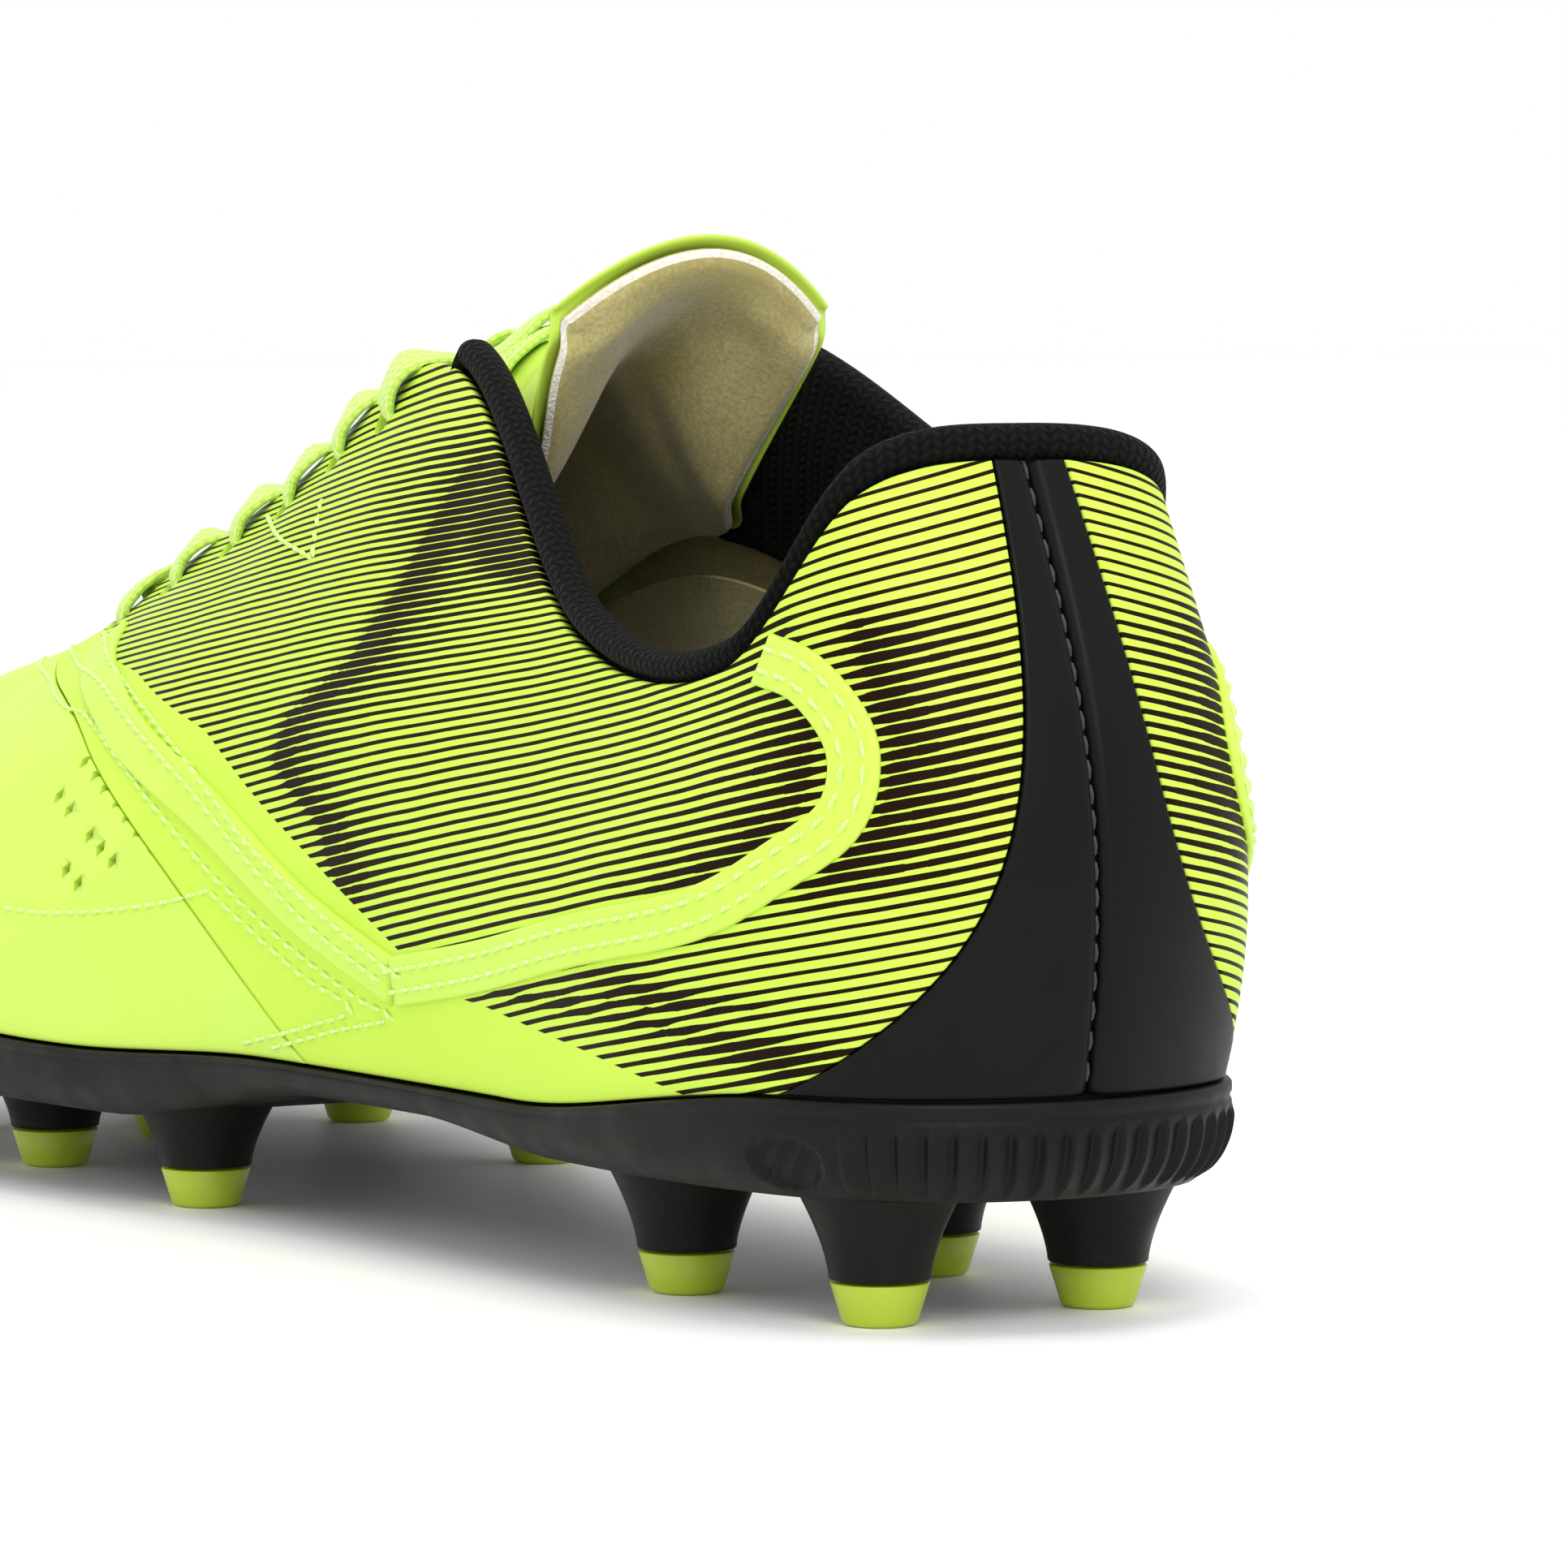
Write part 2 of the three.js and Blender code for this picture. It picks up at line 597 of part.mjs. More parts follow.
// the rolled edge that the knit lining makes round the top line
function collarRoll() {
  const from = collarStart + 0.02;
  const to = mirrorStation(from);
  const sides = 6;
  const columns = 46;
  const points = [];
  const triangles = [];
  for (let i = 0; i <= columns; i += 1) {
    const station = lerp(from, to, i / columns);
    const normal = normalAt(station, 1);
    const rise = upWall(station, 1).normalize();
    const centre = wallAt(station, 1).addScaledVector(rise, collarRollRadius + gap + facetRoom).addScaledVector(normal, -1.2);
    for (let k = 0; k < sides; k += 1) {
      const angle = 2 * Math.PI * (k + 0.5) / sides;
      points.push(centre.clone().addScaledVector(normal, collarRollRadius * 1.15 * Math.cos(angle))
        .addScaledVector(rise, collarRollRadius * Math.sin(angle)));
    }
  }
  capTube(points, triangles, columns, sides);
  return bodyFrom(points, triangles);
}

// skin and end caps for rings of points
function capTube(points, triangles, columns, sides) {
  for (let i = 0; i < columns; i += 1) {
    for (let k = 0; k < sides; k += 1) {
      const a = i * sides + k;
      const b = i * sides + (k + 1) % sides;
      triangles.push(a, b, b + sides, a, b + sides, a + sides);
    }
  }
  for (let k = 1; k + 1 < sides; k += 1) {
    triangles.push(0, k + 1, k);
    triangles.push(columns * sides, columns * sides + k, columns * sides + k + 1);
  }
}

// ---- tongue

// middle of the lacing gap at a station, and half of the gap's width
function gapMiddle(station) {
  return topAt(station).add(topAt(-station)).divideScalar(2);
}

function gapHalf(station) {
  return Math.abs(topAt(station).x - topAt(-station).x) / 2;
}

const tongueFront = 1.9; // station of the tongue's front edge
const tongueLaced = 0.72; // share of the tongue's run that lies under the lacing
const tongueSplit = 0.82; // where the free end folds

// the tongue's upper face: run 0 at the vamp, 1 at its free end; across -1 to 1
function tongueSection(run) {
  const laced = Math.min(run / tongueLaced, 1);
  const station = lerp(tongueFront, collarStart, laced);
  const free = Math.max((run - tongueLaced) / (1 - tongueLaced), 0);
  const centre = gapMiddle(station);
  centre.z += lerp(-5.6, 2.6, ease(2, 4.6, station));
  centre.y += tongueReach * free;
  centre.z += tongueRise * (free * 0.8 + 0.2 * Math.sin(free * Math.PI / 2));
  const tucked = lerp(12.5, 18.5, ease(2, 4.9, station));
  const waist = lerp(tucked, 15, ease(0, 0.3, free));
  const half = lerp(waist, 17.5, ease(0.35, 0.8, free));
  const sag = lerp(lerp(4, 22, ease(2, 4.1, station)), 8, ease(0.2, 1, free));
  return { centre, half, sag };
}

function tongueNormal(run, across) {
  const { half, sag } = tongueSection(run);
  const ahead = tongueSection(run + 0.01).centre;
  const behind = tongueSection(run - 0.01).centre;
  const slope = (ahead.z - behind.z) / (ahead.y - behind.y);
  return new THREE.Vector3(2 * sag * across / half, -slope, 1).normalize();
}

function tonguePoint(run, across, depth) {
  const { centre, half, sag } = tongueSection(run);
  const corner = 1 - 0.3 * ease(0.94, 1, run) * across * across;
  const point = new THREE.Vector3(centre.x + half * across, centre.y, centre.z - sag * across * across);
  point.y += -3 * (1 - corner) * half / 4;
  const normal = tongueNormal(run, across);
  return point.addScaledVector(normal, -depth);
}

function tongueBody(from, to, outer, inner, columns) {
  const rows = 8;
  return sheetBody(columns, rows, (i, j, side) => tonguePoint(lerp(from, to, i / columns), 1 - 2 * j / rows,
    side ? outer : inner));
}

function addTongue() {
  const faceBottom = tongueFaceThickness;
  const foamTop = faceBottom + gap;
  const foamBottom = foamTop + tongueFoamThickness;
  const half = 0.5 * gap / 130;
  const base = [0, tongueSplit - half];
  const flap = [tongueSplit + half * 2, 1];
  addPiece('tongue_face', tongueBody(...base, 0, faceBottom, 14), colours.neon, 0.5);
  addPiece('tongue_padding', tongueBody(...base, foamTop, foamBottom, 14), colours.beige, 0.9);
  addPiece('tongue_flap_face', tongueBody(...flap, 0, faceBottom, 6), colours.neon, 0.5);
  addPiece('tongue_flap_padding', tongueBody(...flap, foamTop, foamBottom, 6), colours.beige, 0.9);
}

// ---- lace

const laceOutside = laceThickness / 2 + gap + facetRoom;
const laceInside = eyestayInner - gap - 2 * facetRoom - laceThickness / 2;
const laceOverTongue = laceThickness / 2 + gap + 1.5 * facetRoom;
const laceStep = 1.2; // extra height of a run that comes in over the edge
const edgeRise = 2.8; // height of the lace over the eyestay's edge
const lowestBarLift = 4.2; // height of the lowest bar over the tongue

// the lace turns back through an eyelet on a half circle; inward is true when it goes into the shoe
function laceTurn(pair, side, inward, facing) {
  const [station, share] = eyeletAt(pair, side);
  const normal = normalAt(station, share);
  const away = upWall(station, share).normalize().negate();
  const radius = (laceOutside - laceInside) / 2;
  const centre = wallAt(station, share).addScaledVector(normal, (laceOutside + laceInside) / 2)
    .addScaledVector(away, -radius);
  const stops = [];
  for (let step = -2; step <= 2; step += 1) {
    const angle = (inward ? -step : step) * Math.PI / 4;
    const radial = away.clone().multiplyScalar(Math.cos(angle)).addScaledVector(normal, Math.sin(angle));
    stops.push({
      point: centre.clone().addScaledVector(radial, radius),
      normal: radial.multiplyScalar(inward ? facing : -facing),
      width: lerp(laceWidthInHole, laceWidth, Math.abs(Math.sin(angle)) ** 6),
    });
  }
  return stops;
}

function sideStation(station, side) {
  return side > 0 ? station : mirrorStation(station);
}

function laceAtEdge(station, side, isOver, facing) {
  const own = sideStation(station, side);
  const normal = normalAt(own, 1);
  const point = wallAt(own, 1).addScaledVector(normal, isOver ? laceOutside + 5 * facetRoom : laceInside)
    .addScaledVector(upWall(own, 1).normalize(), isOver ? edgeRise : 0);
  return { point, normal: normal.multiplyScalar(facing), width: laceWidth };
}

function laceOnTongue(station, across, lift, facing) {
  const run = tongueLaced * (station - tongueFront) / (collarStart - tongueFront);
  const { half } = tongueSection(run);
  const point = tonguePoint(run, across * gapHalf(station) / half, -(laceOverTongue + lift));
  const normal = tongueNormal(run, across * gapHalf(station) / half).multiplyScalar(facing);
  return { point, normal, width: laceWidth };
}

// one run across the gap: it starts over the edge of one side, or under it, and ends under the other side
function laceCrossing({ from, to, side, startOver, lift, facing }) {
  const at = (share) => lerp(from, to, share);
  const start = startOver
    ? [laceOnTongue(at(0.3), side * 0.4, laceStep, facing)]
    : [laceOnTongue(at(0.18), side * 0.74, 0, facing), laceOnTongue(at(0.3), side * 0.45, 0, facing)];
  return [
    laceAtEdge(at(0.1), side, startOver, facing),
    ...start,
    laceOnTongue(at(0.5), 0, lift, facing),
    laceOnTongue(at(0.7), -side * 0.45, 0, facing),
    laceOnTongue(at(0.82), -side * 0.74, 0, facing),
    laceAtEdge(at(0.9), -side, false, facing),
  ];
}

// one half of the lace, from the middle of the lowest bar to its tucked end
function laceHalf(startSide) {
  let side = startSide;
  let facing = 1;
  const stops = [
    laceOnTongue(firstEyeletStation, 0.45 * side, lowestBarLift, facing),
    laceAtEdge(firstEyeletStation, side, true, facing),
    ...laceTurn(0, side, true, facing),
  ];
  facing = -facing;
  for (let pair = 0; pair < eyeletPairs; pair += 1) {
    const from = firstEyeletStation + eyeletPitch * pair;
    const isLast = pair === eyeletPairs - 1;
    const onTop = (pair % 2 === 0) === (startSide > 0);
    const to = isLast ? from + 0.2 : from + eyeletPitch;
    const lift = onTop ? laceThickness + 2 * gap : 0;
    stops.push(...laceCrossing({ from, to, side, startOver: pair > 0, lift, facing }));
    side = -side;
    if (!isLast) {
      stops.push(...laceTurn(pair + 1, side, false, facing));
      facing = -facing;
    } else {
      const own = sideStation(to, side);
      const share = topShareInside(own, 5);
      const normal = normalAt(own, share);
      const point = offsetAt(own, share, laceInside);
      stops.push({ point, normal: normal.multiplyScalar(facing), width: laceWidth });
    }
  }
  return stops;
}

function laceBody() {
  const stops = [...laceHalf(1).reverse(), laceOnTongue(firstEyeletStation, 0, lowestBarLift, 1), ...laceHalf(-1)];
  const path = new THREE.CatmullRomCurve3(stops.map((stop) => stop.point), false, 'catmullrom', 0.5);
  const facings = new THREE.CatmullRomCurve3(stops.map((stop) => stop.normal), false, 'catmullrom', 0.5);
  const outlineShape = [[1, 0], [0.8, 1], [-0.8, 1], [-1, 0], [-0.8, -1], [0.8, -1]];
  const points = [];
  const triangles = [];
  let rings = 0;
  for (let k = 0; k + 1 < stops.length; k += 1) {
    const cuts = Math.max(1, Math.round(stops[k].point.distanceTo(stops[k + 1].point) / 3.4));
    const last = k + 2 === stops.length ? 1 : 0;
    for (let cut = 0; cut < cuts + last; cut += 1) {
      const t = (k + cut / cuts) / (stops.length - 1);
      const centre = path.getPoint(t);
      const run = path.getTangent(t);
      const across = new THREE.Vector3().crossVectors(run, facings.getPoint(t)).normalize();
      const face = new THREE.Vector3().crossVectors(across, run).normalize();
      const width = lerp(stops[k].width, stops[k + 1].width, cut / cuts);
      for (const [wide, thick] of outlineShape) {
        points.push(centre.clone().addScaledVector(across, wide * width / 2)
          .addScaledVector(face, thick * laceThickness / 2));
      }
      rings += 1;
    }
  }
  capTube(points, triangles, rings - 1, outlineShape.length);
  return bodyFrom(points, triangles);
}

addSole();
addUpper();
addInside();
addCollar();
addTongue();
addPiece('lace', laceBody(), colours.lace, 0.8);

const bounds = new THREE.Box3().setFromObject(shoe);
const middle = bounds.getCenter(new THREE.Vector3());
shoe.position.set(-middle.x, -middle.y, 0);

export default shoe;
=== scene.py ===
# Low-cut firm-ground football boot for the left foot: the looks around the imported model.
# Shapes are worked out in the boot's own millimetres: x outwards, y = 0 at the back of the heel and
# -282 at the toe, z up. place() turns them into the frame's metres. Stations 0 to 18 run once round
# the foot, from the toe over the outer side to the heel at 9, and back along the inner side.
import math

import bmesh
import bpy
import numpy as np
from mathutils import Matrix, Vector


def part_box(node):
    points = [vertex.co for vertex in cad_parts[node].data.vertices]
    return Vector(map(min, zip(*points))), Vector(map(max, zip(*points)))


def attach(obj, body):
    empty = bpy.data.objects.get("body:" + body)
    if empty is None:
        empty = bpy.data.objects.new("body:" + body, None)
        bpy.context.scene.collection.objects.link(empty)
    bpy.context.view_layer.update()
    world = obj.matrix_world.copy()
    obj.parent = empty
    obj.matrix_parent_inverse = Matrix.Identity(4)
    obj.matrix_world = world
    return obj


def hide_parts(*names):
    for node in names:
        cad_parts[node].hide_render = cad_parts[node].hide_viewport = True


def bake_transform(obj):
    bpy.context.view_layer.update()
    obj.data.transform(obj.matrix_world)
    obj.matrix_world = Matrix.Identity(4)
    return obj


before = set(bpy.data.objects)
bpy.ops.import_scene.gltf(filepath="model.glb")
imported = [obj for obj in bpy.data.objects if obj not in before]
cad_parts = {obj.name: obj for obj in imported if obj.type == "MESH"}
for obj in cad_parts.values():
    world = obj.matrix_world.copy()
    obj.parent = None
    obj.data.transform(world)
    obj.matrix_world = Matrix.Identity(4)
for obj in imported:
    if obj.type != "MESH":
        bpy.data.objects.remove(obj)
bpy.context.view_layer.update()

boot = {
    "length": 282.0, "halfWidth": 46.0, "toeRidge": 45.0, "throat": 67.0, "eyestayTop": 98.0,
    "outerDip": 67.5, "innerDip": 71.0, "heelTop": 89.5, "upperThickness": 1.6, "gap": 0.3,
}
firstStud = (0.304, -0.066)  # place of the rear outer heel stud, in half widths and lengths

tipLow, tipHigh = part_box("stud_tip_heel_outer_rear")
tipCentre = 1000 * (np.array(tipLow) + np.array(tipHigh)) / 2
frameShift = np.array([tipCentre[0] - firstStud[0] * boot["halfWidth"],
                       tipCentre[1] - firstStud[1] * boot["length"], 0.0])


def place(points):
    return (np.asarray(points, float) + frameShift) / 1000


def ease(start, end, value):  # 0 before start, 1 after end, smooth between
    t = np.clip((value - start) / (end - start), 0, 1)
    return t * t * (3 - 2 * t)


def mix(a, b, share):
    return a + (b - a) * share


def spline(points, at, closed=True):
    # Catmull-Rom through the points: at counts points, and runs round when closed
    points = np.asarray(points, float)
    n = len(points)
    at = np.mod(at, n) if closed else np.clip(at, 0, n - 1 - 1e-9)
    i = np.floor(at).astype(int)
    f = (at - i)[..., None]
    if closed:
        p0, p1, p2, p3 = (points[(i + k) % n] for k in (-1, 0, 1, 2))
    else:
        ends = np.concatenate([[2 * points[0] - points[1]], points, [2 * points[-1] - points[-2]]])
        p0, p1, p2, p3 = (ends[i + k] for k in (0, 1, 2, 3))
    return 0.5 * (2 * p1 + (p2 - p0) * f + (2 * p0 - 5 * p1 + 4 * p2 - p3) * f ** 2
                  + (3 * p1 - 3 * p2 + p3 - p0) * f ** 3)


def throughStops(knots, values, t):
    # cubic Hermite curve through values at uneven knots, its slopes taken from the neighbours
    slope = np.gradient(values, knots, axis=0)
    i = np.clip(np.searchsorted(knots, t, side="right") - 1, 0, len(knots) - 2)
    step = (knots[i + 1] - knots[i])[:, None]
    f = (t - knots[i])[:, None] / step
    return ((1 + 2 * f) * (1 - f) ** 2 * values[i] + f * (1 - f) ** 2 * step * slope[i]
            + f ** 2 * (3 - 2 * f) * values[i + 1] + f ** 2 * (f - 1) * step * slope[i + 1])


# plan outline at the sole line: share of the half width, share of the length from the heel
outlineShares = np.array([
    [-0.2, 0.986], [0.28, 0.961], [0.72, 0.876], [0.946, 0.745], [0.9, 0.596], [0.75, 0.433],
    [0.696, 0.27], [0.674, 0.128], [0.478, 0.032], [0, 0], [-0.478, 0.032], [-0.674, 0.128],
    [-0.652, 0.27], [-0.598, 0.433], [-0.739, 0.596], [-0.978, 0.745], [-0.913, 0.876], [-0.63, 0.957]])
# top line: the same two shares, and the height
laceMiddle = (boot["throat"] + boot["eyestayTop"]) / 2 + 1.5
topShares = np.array([
    [-0.13, 0.904, boot["toeRidge"]], [-0.11, 0.872, boot["toeRidge"] + 5],
    [-0.043, 0.787, boot["throat"] - 8],
    [0.239, 0.709, boot["throat"]], [0.283, 0.539, laceMiddle], [0.37, 0.379, boot["eyestayTop"]],
    [0.576, 0.22, boot["outerDip"] + 2.5], [0.58, 0.106, boot["outerDip"]],
    [0.4, 0.056, boot["heelTop"] - 3.5],
    [0, 0.043, boot["heelTop"]], [-0.4, 0.056, boot["heelTop"] - 3.5],
    [-0.587, 0.135, boot["innerDip"]],
    [-0.587, 0.248, (boot["innerDip"] + boot["eyestayTop"]) / 2 + 0.5],
    [-0.413, 0.372, boot["eyestayTop"] + 1],
    [-0.304, 0.539, laceMiddle], [-0.283, 0.709, boot["throat"]], [-0.043, 0.787, boot["throat"] - 8],
    [-0.11, 0.872, boot["toeRidge"] + 5]])
stations = 18
heelStation = 9.0
ridgeEnd = 2.0
collarStart = 5.0
planScale = np.array([boot["halfWidth"], -boot["length"], 1.0])
outlinePoints = np.column_stack([outlineShares, np.zeros(stations)]) * planScale
topPoints = topShares * planScale


def fromToe(a):
    a = np.mod(a, stations)
    return np.minimum(a, stations - a)


def outlineAt(a):
    return spline(outlinePoints, a)


def topAt(a):
    # the two sides of the vamp share one ridge, up to ridgeEnd
    shared = (1 - ease(ridgeEnd, ridgeEnd + 0.5, fromToe(a)))[..., None]
    own = spline(topPoints, a)
    return own + (spline(topPoints, -a) - own) * shared / 2


def outwardAt(a):
    along = outlineAt(a + 1e-3) - outlineAt(a - 1e-3)
    out = np.stack([along[..., 1], -along[..., 0], 0 * along[..., 0]], -1)
    return out / np.linalg.norm(out, axis=-1, keepdims=True)


def soleLine(y):
    along = -y / boot["length"]
    heel = 4.6 * ease(0.234, 0.05, along)
    waist = 1.5 * ease(0.425, 0.567, along) * ease(0.762, 0.585, along)
    return 20 + heel - waist + 6 * ease(0.727, 0.975, along)


def plateBottom(y):
    along = -y / boot["length"]
    shank = mix(13.8, 16.0, ease(0.22, 0.32, along))
    return mix(shank, 10.7, ease(0.4, 0.55, along)) + 6 * ease(0.78, 0.99, along)


def wall(a, w):
    # outer surface of the upper: a cubic Bezier curve at each station, w 0 at the sole line and 1 at
    # the top
    a, w = np.broadcast_arrays(np.asarray(a, float), np.asarray(w, float))
    foot = outlineAt(a)
    foot[..., 2] = soleLine(foot[..., 1])
    top = topAt(a)
    fore = ease(0.425, 0.727, -foot[..., 1] / boot["length"])[..., None]
    rise = (top[..., 2] - foot[..., 2])[..., None]
    up = np.array([0, 0, 1.0])
    lower = foot + outwardAt(a) * mix(6, 2, fore) + up * rise * mix(0.42, 0.55, fore)
    laced = (ease(2.2, 3.4, fromToe(a)) * ease(5.6, 4.6, fromToe(a)))[..., None]
    reach = mix(mix(0.95, 0.62, fore), 0.45, laced)
    drop = mix(0.34 * (1 - fore), 0.3, laced)
    upper = top + (foot - top) * np.array([1, 1, 0]) * reach - up * rise * drop
    w = w[..., None]
    return (foot * (1 - w) ** 3 + 3 * lower * w * (1 - w) ** 2 + 3 * upper * w * w * (1 - w)
            + top * w ** 3)


def alongWall(a, w):
    return (wall(a + 1e-3, w) - wall(a - 1e-3, w)) / 2e-3


def upWall(a, w):
    return (wall(a, w + 1e-3) - wall(a, w - 1e-3)) / 2e-3


def unit(v):
    return v / np.maximum(np.linalg.norm(v, axis=-1, keepdims=True), 1e-12)


def lengthAlong(line):
    # distance from the start of a line to each of its points
    return np.concatenate([[0], np.cumsum(np.linalg.norm(np.diff(line, axis=0), axis=1))])


def wallNormal(a, w):
    a, w = np.broadcast_arrays(np.asarray(a, float), np.asarray(w, float))
    own = unit(np.cross(alongWall(a, w), upWall(a, w)))
    other = unit(np.cross(alongWall(-a, w), upWall(-a, w)))
    onRidge = ((w > 0.999) & (fromToe(a) <= ridgeEnd + 1e-6))[..., None]
    return np.where(onRidge, unit(own + other), own)


def offset(a, w, distance):  # a point of the wall, moved along its normal
    return wall(a, w) + wallNormal(a, w) * np.asarray(distance, float)[..., None]


def shareAtHeight(a, z):
    a, z = np.broadcast_arrays(np.asarray(a, float), np.asarray(z, float))
    low = np.zeros(a.shape)
    high = np.ones(a.shape)
    for _ in range(22):
        middle = (low + high) / 2
        under = wall(a, middle)[..., 2] < z
        low = np.where(under, middle, low)
        high = np.where(under, high, middle)
    return (low + high) / 2


def slideOnWall(a, w, step):
    # station and share after a 3-D step that lies in the surface, to first order
    u = alongWall(a, w)
    v = upWall(a, w)
    uu, uv, vv = (u * u).sum(-1), (u * v).sum(-1), (v * v).sum(-1)
    us, vs = (u * step).sum(-1), (v * step).sum(-1)
    det = uu * vv - uv * uv
    return a + (us * vv - vs * uv) / det, w + (vs * uu - us * uv) / det


def mirrorStation(a):
    return stations - np.asarray(a, float)


# meshes

def gridFaces(rows, columns, start=0, loopRows=False, loopColumns=False):
    # quads of a grid of points that is stored row by row
    r = np.arange(rows if loopRows else rows - 1)[:, None]
    c = np.arange(columns if loopColumns else columns - 1)[None, :]
    r2 = (r + 1) % rows
    c2 = (c + 1) % columns
    quads = np.stack([r * columns + c, r * columns + c2, r2 * columns + c2, r2 * columns + c], -1)
    return quads.reshape(-1, 4) + start


def slab(outer, inner, loopColumns=False, openTop=None):
    # closed sheet between two grids of points (rows, columns, 3)
    rows, columns = outer.shape[:2]
    count = rows * columns
    faces = [gridFaces(rows, columns, 0, loopColumns=loopColumns),
             gridFaces(rows, columns, count, loopColumns=loopColumns)[:, ::-1]]
    c = np.arange(columns if loopColumns else columns - 1)
    c2 = (c + 1) % columns
    faces.append(np.stack([c2, c, c + count, c2 + count], -1))
    last = (rows - 1) * columns
    closing = np.ones(len(c), bool) if openTop is None else openTop
    faces.append(np.stack([c + last, c2 + last, c2 + last + count, c + last + count], -1)[closing])
    if not loopColumns:
        r = np.arange(rows - 1) * columns
        faces.append(np.stack([r, r + columns, r + columns + count, r + count], -1))
        e = r + columns - 1
        faces.append(np.stack([e + columns, e, e + count, e + columns + count], -1))
    return np.concatenate([outer.reshape(-1, 3), inner.reshape(-1, 3)]), np.concatenate(faces)


def tube(rings, capped=True):
    # closed skin over rings of points (rings, sides, 3), with a fan at each end
    count, sides = rings.shape[:2]
    points = rings.reshape(-1, 3)
    quads = gridFaces(count, sides, 0, loopColumns=True)
    if not capped:
        return points, [quads]
    points = np.concatenate([points, rings[:1].mean(1), rings[-1:].mean(1)])
    k = np.arange(sides)
    k2 = (k + 1) % sides
    centre = count * sides
    first = np.stack([k2, k, 0 * k + centre], -1)
    last = np.stack([k + centre - sides, k2 + centre - sides, 0 * k + centre + 1], -1)
    return points, [quads, first, last]


def joinParts(parts):
    # one set of points and faces made of several
    faces = []
    start = 0
    for points, arrays in parts:
        faces += [array + start for array in (arrays if isinstance(arrays, list) else [arrays])]
        start += len(points)
    return np.concatenate([points for points, _ in parts]), faces


def addPiece(name, points, faces, material, body="shoe_body", replaces=(), uv=None,
             fields=None, merge=0.0, smooth=True):
    # points in the boot's millimetres; faces is one array or a list of arrays; uv and fields hold a
    # value per point
    arrays = faces if isinstance(faces, list) else [faces]
    corners = [face for array in arrays for face in array.tolist()]
    mesh = bpy.data.meshes.new(name)
    mesh.from_pydata(place(points).tolist(), [], corners)
    if uv is not None:
        order = np.empty(len(mesh.loops), int)
        mesh.loops.foreach_get("vertex_index", order)
        layer = mesh.uv_layers.new(name="UVMap")
        layer.data.foreach_set("uv", np.asarray(uv, np.float32)[order].ravel())
    for field, values in (fields or {}).items():
        attribute = mesh.attributes.new(field, "FLOAT", "POINT")
        attribute.data.foreach_set("value", np.asarray(values, np.float32))
    piece = bpy.data.objects.new(name, mesh)
    bpy.context.scene.collection.objects.link(piece)
    cleanMesh(mesh, merge)
    mesh.polygons.foreach_set("use_smooth", np.full(len(mesh.polygons), smooth))
    mesh.materials.append(material)
    if body:
        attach(piece, body)
    if replaces:
        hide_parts(*replaces)
    return piece


def cleanMesh(mesh, merge):
    # doubled points joined, empty faces dropped and normals turned outwards
    work = bmesh.new()
    work.from_mesh(mesh)
    if merge:
        bmesh.ops.remove_doubles(work, verts=work.verts, dist=merge / 1000)
        bmesh.ops.dissolve_degenerate(work, edges=work.edges, dist=1e-7)
    if work.calc_volume(signed=True) < 0:
        bmesh.ops.reverse_faces(work, faces=work.faces)
    work.to_mesh(mesh)
    work.free()
    mesh.update()


def applyModifiers(piece):
    # the evaluated mesh takes the place of the mesh and its modifiers
    shown = piece.evaluated_get(bpy.context.evaluated_depsgraph_get())
    mesh = bpy.data.meshes.new_from_object(shown)
    piece.modifiers.clear()
    old = piece.data
    piece.data = mesh
    bpy.data.meshes.remove(old)


def cutWith(piece, points, faces):
    # holes cut by closed bodies
    mesh = bpy.data.meshes.new("cutter")
    mesh.from_pydata(place(points).tolist(), [], faces)
    cleanMesh(mesh, 0)
    cutter = bpy.data.objects.new("cutter", mesh)
    bpy.context.scene.collection.objects.link(cutter)
    boolean = piece.modifiers.new("holes", "BOOLEAN")
    boolean.operation = "DIFFERENCE"
    boolean.solver = "EXACT"
    boolean.object = cutter
    bpy.context.view_layer.update()
    applyModifiers(piece)
    bpy.data.objects.remove(cutter)


def prisms(centres, normals, ups, outlineShape, depth):
    # one closed prism per centre: the outline is (right, up) in the plane across its normal
    right = unit(np.cross(ups, normals))
    up = np.cross(normals, right)
    shape = np.asarray(outlineShape, float)
    flat = (centres[:, None] + right[:, None] * shape[None, :, :1] + up[:, None] * shape[None, :, 1:])
    points = np.stack([flat + normals[:, None] * depth, flat - normals[:, None] * depth], 1)
    sides = len(shape)
    k = np.arange(sides)
    k2 = (k + 1) % sides
    walls = np.stack([k, k2, k2 + sides, k + sides], -1)
    faces = []
    for number in range(len(centres)):
        start = number * 2 * sides
        faces += (walls + start).tolist()
        faces.append((k[::-1] + start).tolist())
        faces.append((k + sides + start).tolist())
    return points.reshape(-1, 3), faces


# materials

def linear(code):
    # sRGB hex to linear colour with alpha
    values = np.array([int(code[i:i + 2], 16) for i in (0, 2, 4)]) / 255
    values = np.where(values <= 0.04045, values / 12.92, ((values + 0.055) / 1.055) ** 2.4)
    return (*values.tolist(), 1.0)


def addNode(material, kind, inputs=None, out=0, **settings):
    # a node with its settings, its values and its links; gives back one of its outputs
    tree = material.node_tree
    node = tree.nodes.new(kind)
    for key, value in settings.items():
        setattr(node, key, value)
    for key, value in (inputs or {}).items():
        if isinstance(value, bpy.types.NodeSocket):
            tree.links.new(value, node.inputs[key])
        else:
            node.inputs[key].default_value = value
    return node.outputs[out]


def calc(material, operation, *values):
    return addNode(material, "ShaderNodeMath", dict(enumerate(values)), operation=operation)


